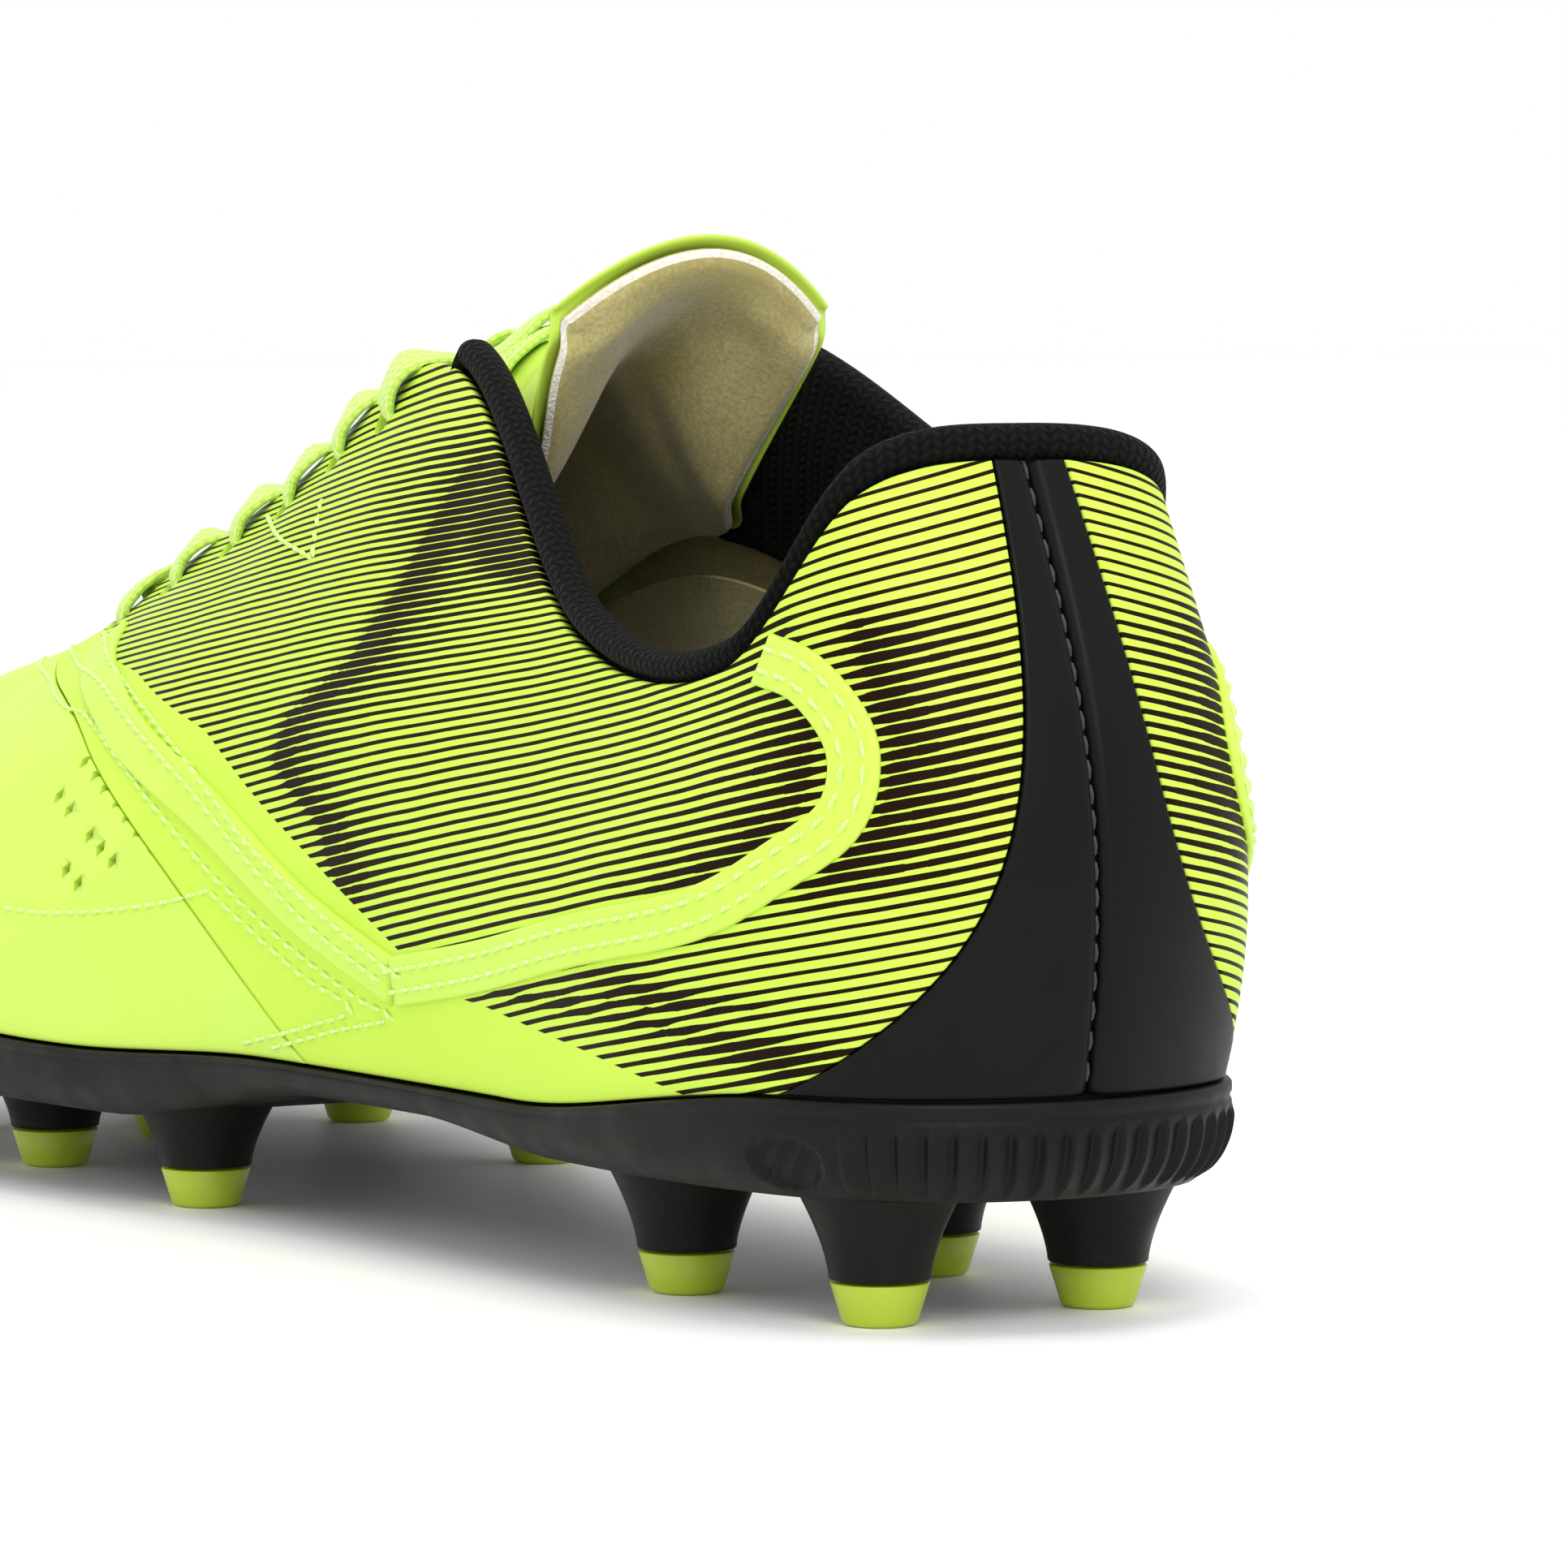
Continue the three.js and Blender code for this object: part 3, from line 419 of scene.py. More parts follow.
def mapped(material, value, low, high, toLow=0.0, toHigh=1.0):
    sockets = {"Value": value, "From Min": low, "From Max": high, "To Min": toLow, "To Max": toHigh}
    return addNode(material, "ShaderNodeMapRange", sockets)


def noise(material, vector, scale, detail):
    return addNode(material, "ShaderNodeTexNoise", {"Vector": vector, "Scale": scale, "Detail": detail})


def between(material, share, first, second):
    # colour between two sRGB codes
    return addNode(material, "ShaderNodeMix", {0: share, 6: linear(first), 7: linear(second)}, out=2,
                   data_type="RGBA")


def startMaterial(name, roughness, ior=1.5, **sockets):
    material = bpy.data.materials.new(name)
    material.use_nodes = True
    shader = material.node_tree.nodes["Principled BSDF"]
    shader.inputs["Roughness"].default_value = roughness
    shader.inputs["IOR"].default_value = ior
    for key, value in sockets.items():
        shader.inputs[key.replace("_", " ")].default_value = value
    return material, shader


def link(material, socket, shader, name):
    material.node_tree.links.new(socket, shader.inputs[name])


def paint(material, shader, share, first, second):
    link(material, between(material, share, first, second), shader, "Base Color")


def setBump(material, shader, height, strength, distance):
    sockets = {"Height": height, "Strength": strength, "Distance": distance}
    link(material, addNode(material, "ShaderNodeBump", sockets), shader, "Normal")


neon = {"low": "BEE04C", "high": "CBEA58"}
# printed lines in millimetres; jump and wedge say how unevenly the heavy lines end
printLook = {
    "ink": "1C0F05", "pitch": 1.27, "thin": 0.38, "thick": 1.06, "step": 2.4, "jump": 0.6, "wedge": 0.75,
}
hideLook = {"grain": 0.35, "crease": 9.0}  # millimetres: pebble of the coating, and soft creases


def hideSurface(material, shader, coordinates, depth=0.00004):
    # coated synthetic leather: a fine pebble, and wide shallow creases, in one height
    pebbleSockets = {"Vector": coordinates, "Scale": 1000 / hideLook["grain"]}
    pebble = addNode(material, "ShaderNodeTexVoronoi", pebbleSockets, feature="SMOOTH_F1")
    crease = noise(material, coordinates, 1000 / hideLook["crease"], 3.0)
    height = calc(material, "MULTIPLY_ADD", pebble, 0.25, crease)
    setBump(material, shader, height, 0.35, depth)
    gloss = mapped(material, crease, 0.3, 0.7, 0.36, 0.5)
    link(material, gloss, shader, "Roughness")


def coatedSynthetic():
    # PU-coated synthetic leather, embossed: even neon with a soft sheen, a little deeper in its creases
    material, shader = startMaterial("coated synthetic leather", 0.45, Specular_IOR_Level=0.35)
    coordinates = addNode(material, "ShaderNodeTexCoord", out=3)
    tone = noise(material, coordinates, 40.0, 2.0)
    paint(material, shader, tone, neon["low"], neon["high"])
    hideSurface(material, shader, coordinates)
    return material


def printedSynthetic():
    # the same coated leather with flat screen-printed dark lines. UV holds the distance from the heel
    # and the height across the lines, in millimetres; "heavy" widens the lines and "printed" ends them
    material, shader = startMaterial("screen-printed synthetic leather", 0.45, Specular_IOR_Level=0.05)
    coordinates = addNode(material, "ShaderNodeTexCoord", out=3)
    uv = addNode(material, "ShaderNodeTexCoord", out=2)
    split = addNode(material, "ShaderNodeSeparateXYZ", {0: uv}).node
    wobble = noise(material, coordinates, 90.0, 1.0)
    bent = calc(material, "MULTIPLY_ADD", wobble, 0.25, split.outputs[1])
    line = calc(material, "DIVIDE", bent, printLook["pitch"])
    number = calc(material, "FLOOR", line)
    part = calc(material, "FRACT", line)
    centred = calc(material, "SUBTRACT", part, 0.5)
    away = calc(material, "ABSOLUTE", centred)
    # each line steps in width at places of its own
    shift = addNode(material, "ShaderNodeTexWhiteNoise", {"W": number}, noise_dimensions="1D")
    run = calc(material, "DIVIDE", split.outputs[0], printLook["step"])
    cell = calc(material, "ADD", run, shift)
    cellNumber = calc(material, "FLOOR", cell)
    both = addNode(material, "ShaderNodeCombineXYZ", {0: cellNumber, 1: number})
    jump = addNode(material, "ShaderNodeTexWhiteNoise", {"Vector": both}, noise_dimensions="3D")
    heavy = addNode(material, "ShaderNodeAttribute", out=2, attribute_name="heavy")
    rough = calc(material, "ADD", jump, -0.5)
    stepped = calc(material, "MULTIPLY_ADD", rough, printLook["jump"], heavy)
    shared = calc(material, "MAXIMUM", heavy, 0.001)
    weight = calc(material, "MULTIPLY", stepped, shared)
    wide = calc(material, "MULTIPLY_ADD", weight, printLook["wedge"], heavy)
    half = mapped(material, wide, 0.0, 1.25, printLook["thin"] / printLook["pitch"] / 2,
                  printLook["thick"] / printLook["pitch"] / 2)
    ink = mapped(material, away, half, calc(material, "ADD", half, 0.03), 1.0, 0.0)
    inside = addNode(material, "ShaderNodeAttribute", out=2, attribute_name="printed")
    edge = mapped(material, inside, 0.0, 0.12)
    amount = calc(material, "MULTIPLY", ink, edge)
    tone = noise(material, coordinates, 40.0, 2.0)
    coating = between(material, tone, neon["low"], neon["high"])
    layers = {0: amount, 6: coating, 7: linear(printLook["ink"])}
    colour = addNode(material, "ShaderNodeMix", layers, out=2, data_type="RGBA")
    link(material, colour, shader, "Base Color")
    hideSurface(material, shader, coordinates)
    return material


def darkSynthetic():
    # dark PU-coated microfibre: near black with a soft grey sheen and a fine pebble
    material, shader = startMaterial("dark coated microfibre", 0.5, Specular_IOR_Level=0.12)
    coordinates = addNode(material, "ShaderNodeTexCoord", out=3)
    tone = noise(material, coordinates, 60.0, 3.0)
    paint(material, shader, tone, "080907", "0F100E")
    hideSurface(material, shader, coordinates, 0.00006)
    return material


def mouldedTpu(name, dark, light, roughness, shine=0.5, subsurface=0.0):
    # injection-moulded TPU: satin from the mould's fine spark texture, faint flow marks in its colour
    material, shader = startMaterial(name, roughness, Specular_IOR_Level=shine,
                                     Subsurface_Weight=subsurface, Subsurface_Scale=0.002)
    coordinates = addNode(material, "ShaderNodeTexCoord", out=3)
    flow = addNode(material, "ShaderNodeTexNoise", {"Vector": coordinates, "Scale": 55.0, "Detail": 4.0,
                                                    "Distortion": 0.6})
    paint(material, shader, flow, dark, light)
    spark = noise(material, coordinates, 2600.0, 2.0)
    scuff = noise(material, coordinates, 180.0, 5.0)
    height = calc(material, "MULTIPLY_ADD", scuff, 0.6, spark)
    setBump(material, shader, height, 0.3, 0.00006)
    gloss = mapped(material, scuff, 0.3, 0.7, roughness - 0.07, roughness + 0.1)
    link(material, gloss, shader, "Roughness")
    return material


def warpKnit(name, dark, light, stitch):
    # warp-knit polyester: rows of V stitches, drawn about a third coarser than real so that they show.
    # UV is in millimetres along and across the piece
    material, shader = startMaterial(name, 0.8, Specular_IOR_Level=0.1, Sheen_Weight=0.02,
                                     Sheen_Roughness=0.4)
    uv = addNode(material, "ShaderNodeTexCoord", out=2)
    split = addNode(material, "ShaderNodeSeparateXYZ", {0: uv}).node
    column = calc(material, "DIVIDE", split.outputs[0], stitch)
    row = calc(material, "DIVIDE", split.outputs[1], stitch * 0.85)
    across = calc(material, "PINGPONG", column, 1.0)
    slant = calc(material, "MULTIPLY_ADD", across, 0.8, row)
    loop = calc(material, "PINGPONG", slant, 0.5)
    valley = calc(material, "PINGPONG", across, 0.5)
    yarn = calc(material, "MULTIPLY", loop, valley)
    round_ = calc(material, "POWER", yarn, 0.5)
    fuzz = noise(material, uv, 3.0, 3.0)
    height = calc(material, "MULTIPLY_ADD", fuzz, 0.25, round_)
    # painted shade and highlight: the colour darkens in the valleys between the yarns and lightens on their
    # crests
    shade = mapped(material, round_, 0.08, 0.45)
    paint(material, shader, shade, dark, light)
    setBump(material, shader, height, 1.0, 0.0006)
    return material


def brushedTricot(name, dark, light, grain=0.5):
    # brushed tricot on foam: matt, with a short nap that lightens at the edges
    material, shader = startMaterial(name, 0.9, Sheen_Weight=0.4, Sheen_Roughness=0.5)
    coordinates = addNode(material, "ShaderNodeTexCoord", out=3)
    nap = noise(material, coordinates, 1000 / grain, 3.0)
    drift = noise(material, coordinates, 70.0, 2.0)
    share = calc(material, "MULTIPLY", nap, drift)
    spread = mapped(material, share, 0.15, 0.4)
    paint(material, shader, spread, dark, light)
    setBump(material, shader, nap, 0.5, 0.00015)
    return material


def openCellFoam():
    # cut edge of polyurethane foam: near white, pitted by its cells
    material, shader = startMaterial("open-cell foam", 0.95, Subsurface_Weight=0.2,
                                     Subsurface_Scale=0.001)
    coordinates = addNode(material, "ShaderNodeTexCoord", out=3)
    cells = addNode(material, "ShaderNodeTexVoronoi", {"Vector": coordinates, "Scale": 2200.0})
    paint(material, shader, cells, "F2EFE4", "D9D3C0")
    setBump(material, shader, cells, 0.6, 0.0002)
    return material


def braidedPolyester():
    # flat braided polyester lace: flattened yarns that cross in a herringbone, at their real pitch
    material, shader = startMaterial("braided polyester", 0.62, Sheen_Weight=0.25, Sheen_Roughness=0.4)
    uv = addNode(material, "ShaderNodeTexCoord", out=2)
    split = addNode(material, "ShaderNodeSeparateXYZ", {0: uv}).node
    across = calc(material, "PINGPONG", split.outputs[1], 1.0)
    along = calc(material, "DIVIDE", split.outputs[0], 1.1)
    slant = calc(material, "MULTIPLY_ADD", across, 1.0, along)
    yarn = calc(material, "PINGPONG", slant, 0.5)
    edge = calc(material, "PINGPONG", across, 0.5)
    both = calc(material, "MULTIPLY", yarn, edge)
    height = calc(material, "POWER", both, 0.5)
    # painted shade and highlight: the colour darkens where the yarns dip and lightens on their crests
    shade = mapped(material, height, 0.05, 0.42)
    paint(material, shader, shade, "AFD44C", "E0FA82")
    setBump(material, shader, height, 0.8, 0.0004)
    return material


def spunThread(name, dark, light):
    # bonded polyester thread: twisted plies, drawn as slanted bands in the relief, with painted shade
    # between the plies in the colour
    material, shader = startMaterial(name, 0.5, Sheen_Weight=0.2)
    coordinates = addNode(material, "ShaderNodeTexCoord", out=3)
    ply = addNode(material, "ShaderNodeTexWave",
                  {"Vector": coordinates, "Scale": 900.0, "Distortion": 1.0})
    # painted shade: the colour darkens in the grooves between the plies and lightens on their crests
    paint(material, shader, ply, dark, light)
    setBump(material, shader, ply, 0.3, 0.0001)
    return material


upperMaterial = coatedSynthetic()
printMaterial = printedSynthetic()
darkMaterial = darkSynthetic()
soleMaterial = mouldedTpu("moulded TPU outsole", "0B0C09", "131410", 0.46, 0.15)
tipMaterial = mouldedTpu("moulded TPU stud tip", "A3B824", "B2C72E", 0.4, 0.5, 0.1)
knitMaterial = warpKnit("black warp knit", "020202", "141413", 1.25)
liningMaterial = brushedTricot("brushed tricot lining", "A39858", "C8BC82")
sockMaterial = brushedTricot("brushed sockliner knit", "141414", "262625")
boardMaterial = brushedTricot("non-woven board", "B9B19C", "DAD3C2", 0.8)
tapeMaterial = brushedTricot("woven reinforcing tape", "CFCBBB", "E8E5DA", 0.6)
foamMaterial = openCellFoam()
laceMaterial = braidedPolyester()
threadMaterial = spunThread("neon polyester thread", "BDE86C", "DAF896")
darkThreadMaterial = spunThread("black polyester thread", "0A0A0A", "1C1C1B")
print("materials made")


# upper

upper = {
    "throatSeam": 2.55, "seamGap": 0.004, "round": 0.45, "firstEyelet": 3.2, "eyeletPitch": 0.304,
    "eyeletPairs": 6, "eyeletInset": 6.0, "eyeletRadius": 2.3, "linesSlope": 0.19,
}


def vampSeam(w):
    return upper["throatSeam"] + 2.7 * (1 - w) ** 1.05


def heelStripHalf(w):
    # half width of the dark strip, in stations: narrow at the top, spreading at the foot
    return (5.5 + 3.2 * (1 - w) + 26 * np.exp(-6.5 * w)) / 25


def edgeSteps(count, length, radius):
    # 0 to 1 in even steps, with three extra lines in the rounded border at each end
    near = np.array([0, 0.12, 0.45, 1.0]) * radius / length
    return np.concatenate([near, np.linspace(near[-1], 1 - near[-1], count)[1:-1], 1 - near[::-1]])


def borderRound(points, radius, sides=(True, True, True, True)):
    # how far each point of a grid sinks so that the borders (start, end, low, high) are quarter circles
    alongStep = np.linalg.norm(np.diff(points, axis=1), axis=-1)
    upStep = np.linalg.norm(np.diff(points, axis=0), axis=-1)
    along = np.pad(np.cumsum(alongStep, 1), ((0, 0), (1, 0)))
    up = np.pad(np.cumsum(upStep, 0), ((1, 0), (0, 0)))
    reach = [along, along[:, -1:] - along, up, up[-1:] - up]
    near = np.full(points.shape[:2], radius)
    for distance, wanted in zip(reach, sides):
        if wanted:
            near = np.minimum(near, distance)
    return radius - np.sqrt(np.maximum(radius ** 2 - (radius - near) ** 2, 0))


def panelGrid(start, end, low, high, columns, rows, radius=0.45, size=(150, 60)):
    # stations and shares of a panel whose ends are functions of the share
    w = mix(low, high, edgeSteps(rows, size[1], radius))[:, None]
    t = edgeSteps(columns, size[0], radius)[None, :]
    return mix(start(w), end(w), t), w + 0 * t


def panelSlab(a, w, outer, thickness, radius=0.45, sides=(True, True, True, True)):
    base = wall(a, w)
    normal = wallNormal(a, w)
    height = outer + np.zeros(a.shape)
    sink = borderRound(base, radius, sides)
    return slab(base + normal * (height - sink)[..., None],
                base + normal * (height - thickness)[..., None])


def twice(values):  # the same values for the outer and the inner face of a slab
    flat = values.reshape(-1, values.shape[-1]) if values.ndim == 3 else values.reshape(-1)
    return np.concatenate([flat, flat])


def eyeletPlace(pair, side):
    station = upper["firstEyelet"] + upper["eyeletPitch"] * np.asarray(pair, float)
    a = station if side > 0 else mirrorStation(station)
    return a, 1 - upper["eyeletInset"] / np.linalg.norm(upWall(a, 1.0), axis=-1)


def eyeletCutter(side):
    a, w = eyeletPlace(np.arange(upper["eyeletPairs"]), side)
    angles = np.linspace(0, 2 * np.pi, 24, endpoint=False)
    circle = upper["eyeletRadius"] * np.column_stack([np.cos(angles), np.sin(angles)])
    return prisms(offset(a, w, -0.8 + 0 * a), wallNormal(a, w), upWall(a, w), circle, 4.0)


# seams of the outer side, as (station, height), in the order that the sewer follows
bandCentre = np.array([[7.42, 69.0], [7.72, 67.5], [7.93, 63.5], [8, 58.7], [7.93, 53],
                       [7.68, 48.4], [7.3, 43], [6.67, 38.6], [6.2, 34.5], [5.74, 31.2]])
edgeCentre = np.array([[3.44, 64.5], [3.65, 61.5], [4.05, 57], [4.75, 47.5], [5.3, 37.5], [5.74, 31.2]])
printFrame = {
    "front": np.array([[2.88, 65.3], [4.0, 61.5], [4.62, 56.2], [5.29, 44.1], [5.81, 33.7]]),
    "lower": np.array([[5.74, 31.2], [6.19, 29.8], [6.7, 26.8], [7.14, 23.4], [7.3, 22.0]]),
    "margin": 0.2,
}
# ridges of heavy lines: their (station, height) places, how far they reach towards the toe and
# towards the heel in millimetres, and their weight
heavyRidges = [
    ([[5.34, 88], [5.37, 74], [5.31, 65], [5.08, 58.4], [5.08, 53.5], [5.37, 47.4], [5.52, 39]],
     2.5, 11, 1.0),
    ([[7.55, 72], [7.75, 66], [7.8, 60], [7.75, 54], [7.5, 49], [7.1, 44]], 14, 3, 0.8),
    ([[8.0, 73], [8.1, 66], [8.2, 60], [8.1, 52], [7.8, 45]], 4, 13, 0.85),
    ([[6.3, 32], [6.9, 35], [7.3, 33], [7.6, 30], [7.7, 26]], 15, 13, 1.0),
    ([[5.5, 90], [5.55, 80], [5.8, 74]], 16, 10, 1.0),
]


def heelDistance(a, z):
    # distance round the wall from the heel's middle, in millimetres, at the height z
    steps = np.linspace(0, 9, 181)
    line = wall(heelStation - steps, shareAtHeight(heelStation - steps, 45.0))
    length = lengthAlong(line)
    return np.interp(np.abs(np.asarray(a) - heelStation), steps, length)


def heavyField(a, z):
    own = np.where(a > heelStation, mirrorStation(a), a)
    run = heelDistance(own, z)
    total = 0.16 * ease(20, 60, run)
    for points, ahead, behind, weight in heavyRidges:
        points = np.array(points, float)
        order = points[:, 1].argsort()
        stationHere = np.interp(z, points[order, 1], points[order, 0])
        inside = ease(points[:, 1].min() - 3, points[:, 1].min() + 3, z) * ease(points[:, 1].max() + 4,
                                                                              points[:, 1].max() - 2, z)
        beyond = run - heelDistance(stationHere, z)  # positive towards the toe
        fall = np.where(beyond > 0, np.exp(-beyond / ahead), np.exp(beyond / behind))
        total = np.maximum(total, weight * inside * fall)
    return total


def printedField(a, z):
    # distance inside the printed area: behind the front band, and above the lower edge
    own = np.where(a > heelStation, mirrorStation(a), a)
    front = printFrame["front"][::-1]
    beyond = (own - np.interp(z, front[:, 1], front[:, 0])) * 26
    lower = printFrame["lower"]
    above = np.where(own > lower[0, 0], z - np.interp(own, lower[:, 0], lower[:, 1]), 9.0)
    return np.minimum(beyond, above) - printFrame["margin"]


def linesUv(a, points):
    run = heelDistance(a, points[..., 2])
    towardsLace = ease(60, 130, run) * ease(55, 95, points[..., 2])
    return np.stack([run, points[..., 2] + upper["linesSlope"] * run + 9.0 * towardsLace], -1)


def backWithLining(piece, shape):
    # the inner face of a slab shows the woven backing of the leather
    skin = (shape[0] - 1) * (shape[1] - 1)
    index = np.zeros(len(piece.data.polygons), np.int32)
    index[skin:2 * skin] = 1
    piece.data.materials.append(liningMaterial)
    piece.data.polygons.foreach_set("material_index", index)


def makeQuarter(name, node, side):
    edge = upper["seamGap"]
    a, w = panelGrid(lambda s: vampSeam(s) + edge, lambda s: heelStation - heelStripHalf(s) - edge,
                     0, 1, 170, 62, size=(190, 60))
    if side < 0:
        a = mirrorStation(a)
    points, faces = panelSlab(a, w, 0.0, boot["upperThickness"], upper["round"])
    surface = wall(a, w)
    fields = {"heavy": twice(heavyField(a, surface[..., 2])),
              "printed": twice(printedField(a, surface[..., 2]))}
    quarter = addPiece(name, points, faces, printMaterial, replaces=[node],
                       uv=twice(linesUv(a, surface)), fields=fields)
    backWithLining(quarter, a.shape)
    cutWith(quarter, *eyeletCutter(side))


perforations = {
    "size": (0.85, 1.1475), "slant": 0.45, "depth": 1.6, "sunk": 0.8,
    "places": [(4.05, 51.2), (4.15, 50.0), (4.23, 48.7), (4.32, 47.3), (4.39, 45.8), (4.46, 44.3),
               (4.54, 43.0), (4.0, 47.1), (4.09, 45.7), (4.24, 43.1), (4.31, 41.8), (4.38, 40.5),
               (4.17, 38.9), (4.24, 37.5)],
}


def makeVamp():
    # one sheet from seam to seam over the toe; its two sides meet along the ridge, from the toe to
    # ridgeEnd
    radius = upper["round"]
    w = edgeSteps(64, 60, radius)[:, None]
    ridge = ridgeEnd * np.linspace(0, 1, 46) ** 0.9
    side = edgeSteps(60, 60, radius)[None, 4:]
    outerSide = ridgeEnd + (vampSeam(w) - upper["seamGap"] - ridgeEnd) * side
    half = np.concatenate([ridge[None, :] + 0 * w, outerSide], 1)
    a = np.concatenate([-half[:, ::-1], half[:, 1:]], 1)
    w = w + 0 * a
    base = wall(a, w)
    normal = wallNormal(a, w)
    open_ = np.abs(a[-1]) > ridgeEnd + 1e-6
    sink = borderRound(base, radius, (True, True, True, False))
    up = np.linalg.norm(base[-1:] - base, axis=-1)
    near = np.where(open_[None, :], np.minimum(up, radius), radius)
    sink = np.maximum(sink, radius - np.sqrt(np.maximum(radius ** 2 - (radius - near) ** 2, 0)))
    top = base - normal * sink[..., None]
    inner = base - normal * boot["upperThickness"]
    closing = open_[:-1] | open_[1:]
    points, faces = slab(top, inner, openTop=closing)
    vamp = addPiece("vampShell", points, faces, upperMaterial, replaces=["vamp"],
                    merge=0.004)
    places = np.array(perforations["places"])
    wide, high = perforations["size"]
    slant = perforations["slant"]
    lozenge = [(-wide, 0), (slant * high, high), (wide, 0), (-slant * high, -high)]
    for flip in (False, True):
        station = mirrorStation(places[:, 0]) if flip else places[:, 0]
        share = shareAtHeight(station, places[:, 1])
        shape = [(-x, y) for x, y in lozenge][::-1] if flip else lozenge
        centres = offset(station, share, 0 * share - perforations["sunk"])
        cutWith(vamp, *prisms(centres, wallNormal(station, share), upWall(station, share), shape,
                              perforations["depth"]))


def makeHeelPanel(name, node, side):
    # dark half of the heel strip: its edge towards the middle rolls down into the sunk seam
    edge = upper["seamGap"]
    a, w = panelGrid(lambda s: heelStation - heelStripHalf(s) + edge,
                     lambda s: heelStation - edge + 0 * s, 0, 1, 46, 70, size=(14, 60))
    if side < 0:
        a = mirrorStation(a)
    fromSeam = np.linalg.norm(wall(a, w) - wall(heelStation + 0 * a, w), axis=-1)
    groove = 0.75 * np.exp(-(fromSeam / 0.75) ** 2) + 0.25 * np.exp(-(fromSeam / 2.6) ** 2)
    points, faces = panelSlab(a, w, 0.1 - groove, boot["upperThickness"], 0.35)
    addPiece(name, points, faces, darkMaterial, replaces=[node])


def bandGrid(path, width, count, rows, radius, closeAt=1.0):
    # stations and shares of a strip of constant width along (station, height) points
    path = np.asarray(path, float)
    t = np.linspace(0, len(path) - 1, count)
    centre = spline(path, t, closed=False)
    a = centre[:, 0]
    w = np.minimum(shareAtHeight(a, centre[:, 1]), 0.992)
    points = wall(a, w)
    run = np.gradient(points, axis=0)
    across = unit(np.cross(wallNormal(a, w), run))
    shares = (edgeSteps(rows, width, radius) * 2 - 1) * width / 2
    step = across[None] * shares[:, None, None]
    stationGrid, shareGrid = slideOnWall(a[None] + 0 * shares[:, None], w[None] + 0 * shares[:, None],
                                         step)
    return stationGrid, np.clip(shareGrid, 0.002, closeAt)


overlayLook = {"width": 5.6, "height": 0.75, "base": -0.15}


def makeOverlay(name, node, flip):
    # folded band, raised over the quarter: a long hook round the heel and a short strip at the vamp
    pieces = []
    for path, count in ((bandCentre, 260), (edgeCentre, 110)):
        path = np.array(path)
        if flip:
            path[:, 0] = mirrorStation(path[:, 0])
        a, w = bandGrid(path, overlayLook["width"], count, 12, 0.5, 0.995)
        base = wall(a, w)
        normal = wallNormal(a, w)
        sink = borderRound(base, 0.5)
        top = base + normal * (overlayLook["height"] - sink)[..., None]
        pieces.append(slab(top, base + normal * overlayLook["base"]))
    points, faces = joinParts(pieces)
    addPiece(name, points, faces, upperMaterial, replaces=[node])


makeVamp()
for word, node, side in (("outer", "lateral", 1), ("inner", "medial", -1)):
    makeQuarter(word + "Quarter", node + "_quarter", side)
    makeHeelPanel(word + "HeelPanel", node + "_heel_panel", side)
    makeOverlay(word + "Band", node + "_overlay", side < 0)
print("upper made")


# seams

seam = {"pitch": 2.8, "length": 2.2, "radius": 0.3, "rise": 0.14}
# rows of stitching of the outer side, as (station, height); the inner side has the same
stitchRows = [
    [[3.22, 64.6], [3.57, 63.4], [4.23, 57.8], [4.72, 50.5], [5.05, 44], [5.39, 38.2], [5.71, 33.1],
     [5.84, 31.6]],
    [[2.95, 62.4], [3.38, 61.1], [3.85, 59.6], [4.32, 54.9], [4.69, 49.4], [5.07, 41.9], [5.39, 35.7],
     [5.7, 31.2]],
    [[2.66, 60.6], [3.25, 59], [3.67, 56.8], [3.87, 56.2], [4.2, 52.6], [4.52, 47], [4.82, 40.8],
     [4.95, 38.4], [5.23, 33.4], [5.54, 28.8], [5.7, 27], [5.43, 24.6], [5.11, 21.4]],
    [[4.84, 38.4], [5.08, 34], [5.3, 30.1], [5.51, 27.3], [5.29, 24.5], [4.97, 21.4]],
    [[2.6, 36.5], [3.2, 34.6], [3.88, 33.7], [4.21, 34], [4.58, 36], [4.84, 38.4]],
    [[3.97, 79.7], [4.8, 75.9]],
    [[4.8, 75.9], [4.56, 82.9]],
]


def evenSteps(path, pitch):
    # places at an even distance along a smooth path of (station, height), with the direction there
    path = np.asarray(path, float)
    fine = spline(path, np.linspace(0, len(path) - 1, 60 * len(path)), closed=False)
    line = wall(fine[:, 0], shareAtHeight(fine[:, 0], fine[:, 1]))
    length = lengthAlong(line)
    at = np.arange(pitch / 2, length[-1], pitch)
    a = np.interp(at, length, fine[:, 0])
    z = np.interp(at, length, fine[:, 1])
    run = np.column_stack([np.interp(at + 0.3, length, axis) - np.interp(at - 0.3, length, axis)
                           for axis in line.T])
    return a, z, unit(run)


def stitchMesh(centres, runs, normals, length, radius):
    # each stitch runs between two holes: 6-sided rings that swell in the middle and dip at both ends
    share = np.array([-1, -0.75, 0, 0.75, 1.0])
    swell = np.array([0.25, 0.8, 1.0, 0.8, 0.25])
    dip = np.array([-1.0, -0.35, 0.25, -0.35, -1.0]) * radius
    side = np.cross(normals, runs)
    angles = np.linspace(0, 2 * np.pi, 6, endpoint=False)
    middle = centres[:, None] + runs[:, None] * (share * length / 2)[None, :, None]
    middle = middle + normals[:, None] * dip[:, None]
    ring = np.cos(angles)[:, None, None] * side[None] + np.sin(angles)[:, None, None] * normals[None]
    points = middle[:, :, None] + radius * swell[None, :, None, None] * ring.transpose(1, 0, 2)[:, None]
    return joinParts([tube(stitch) for stitch in points])


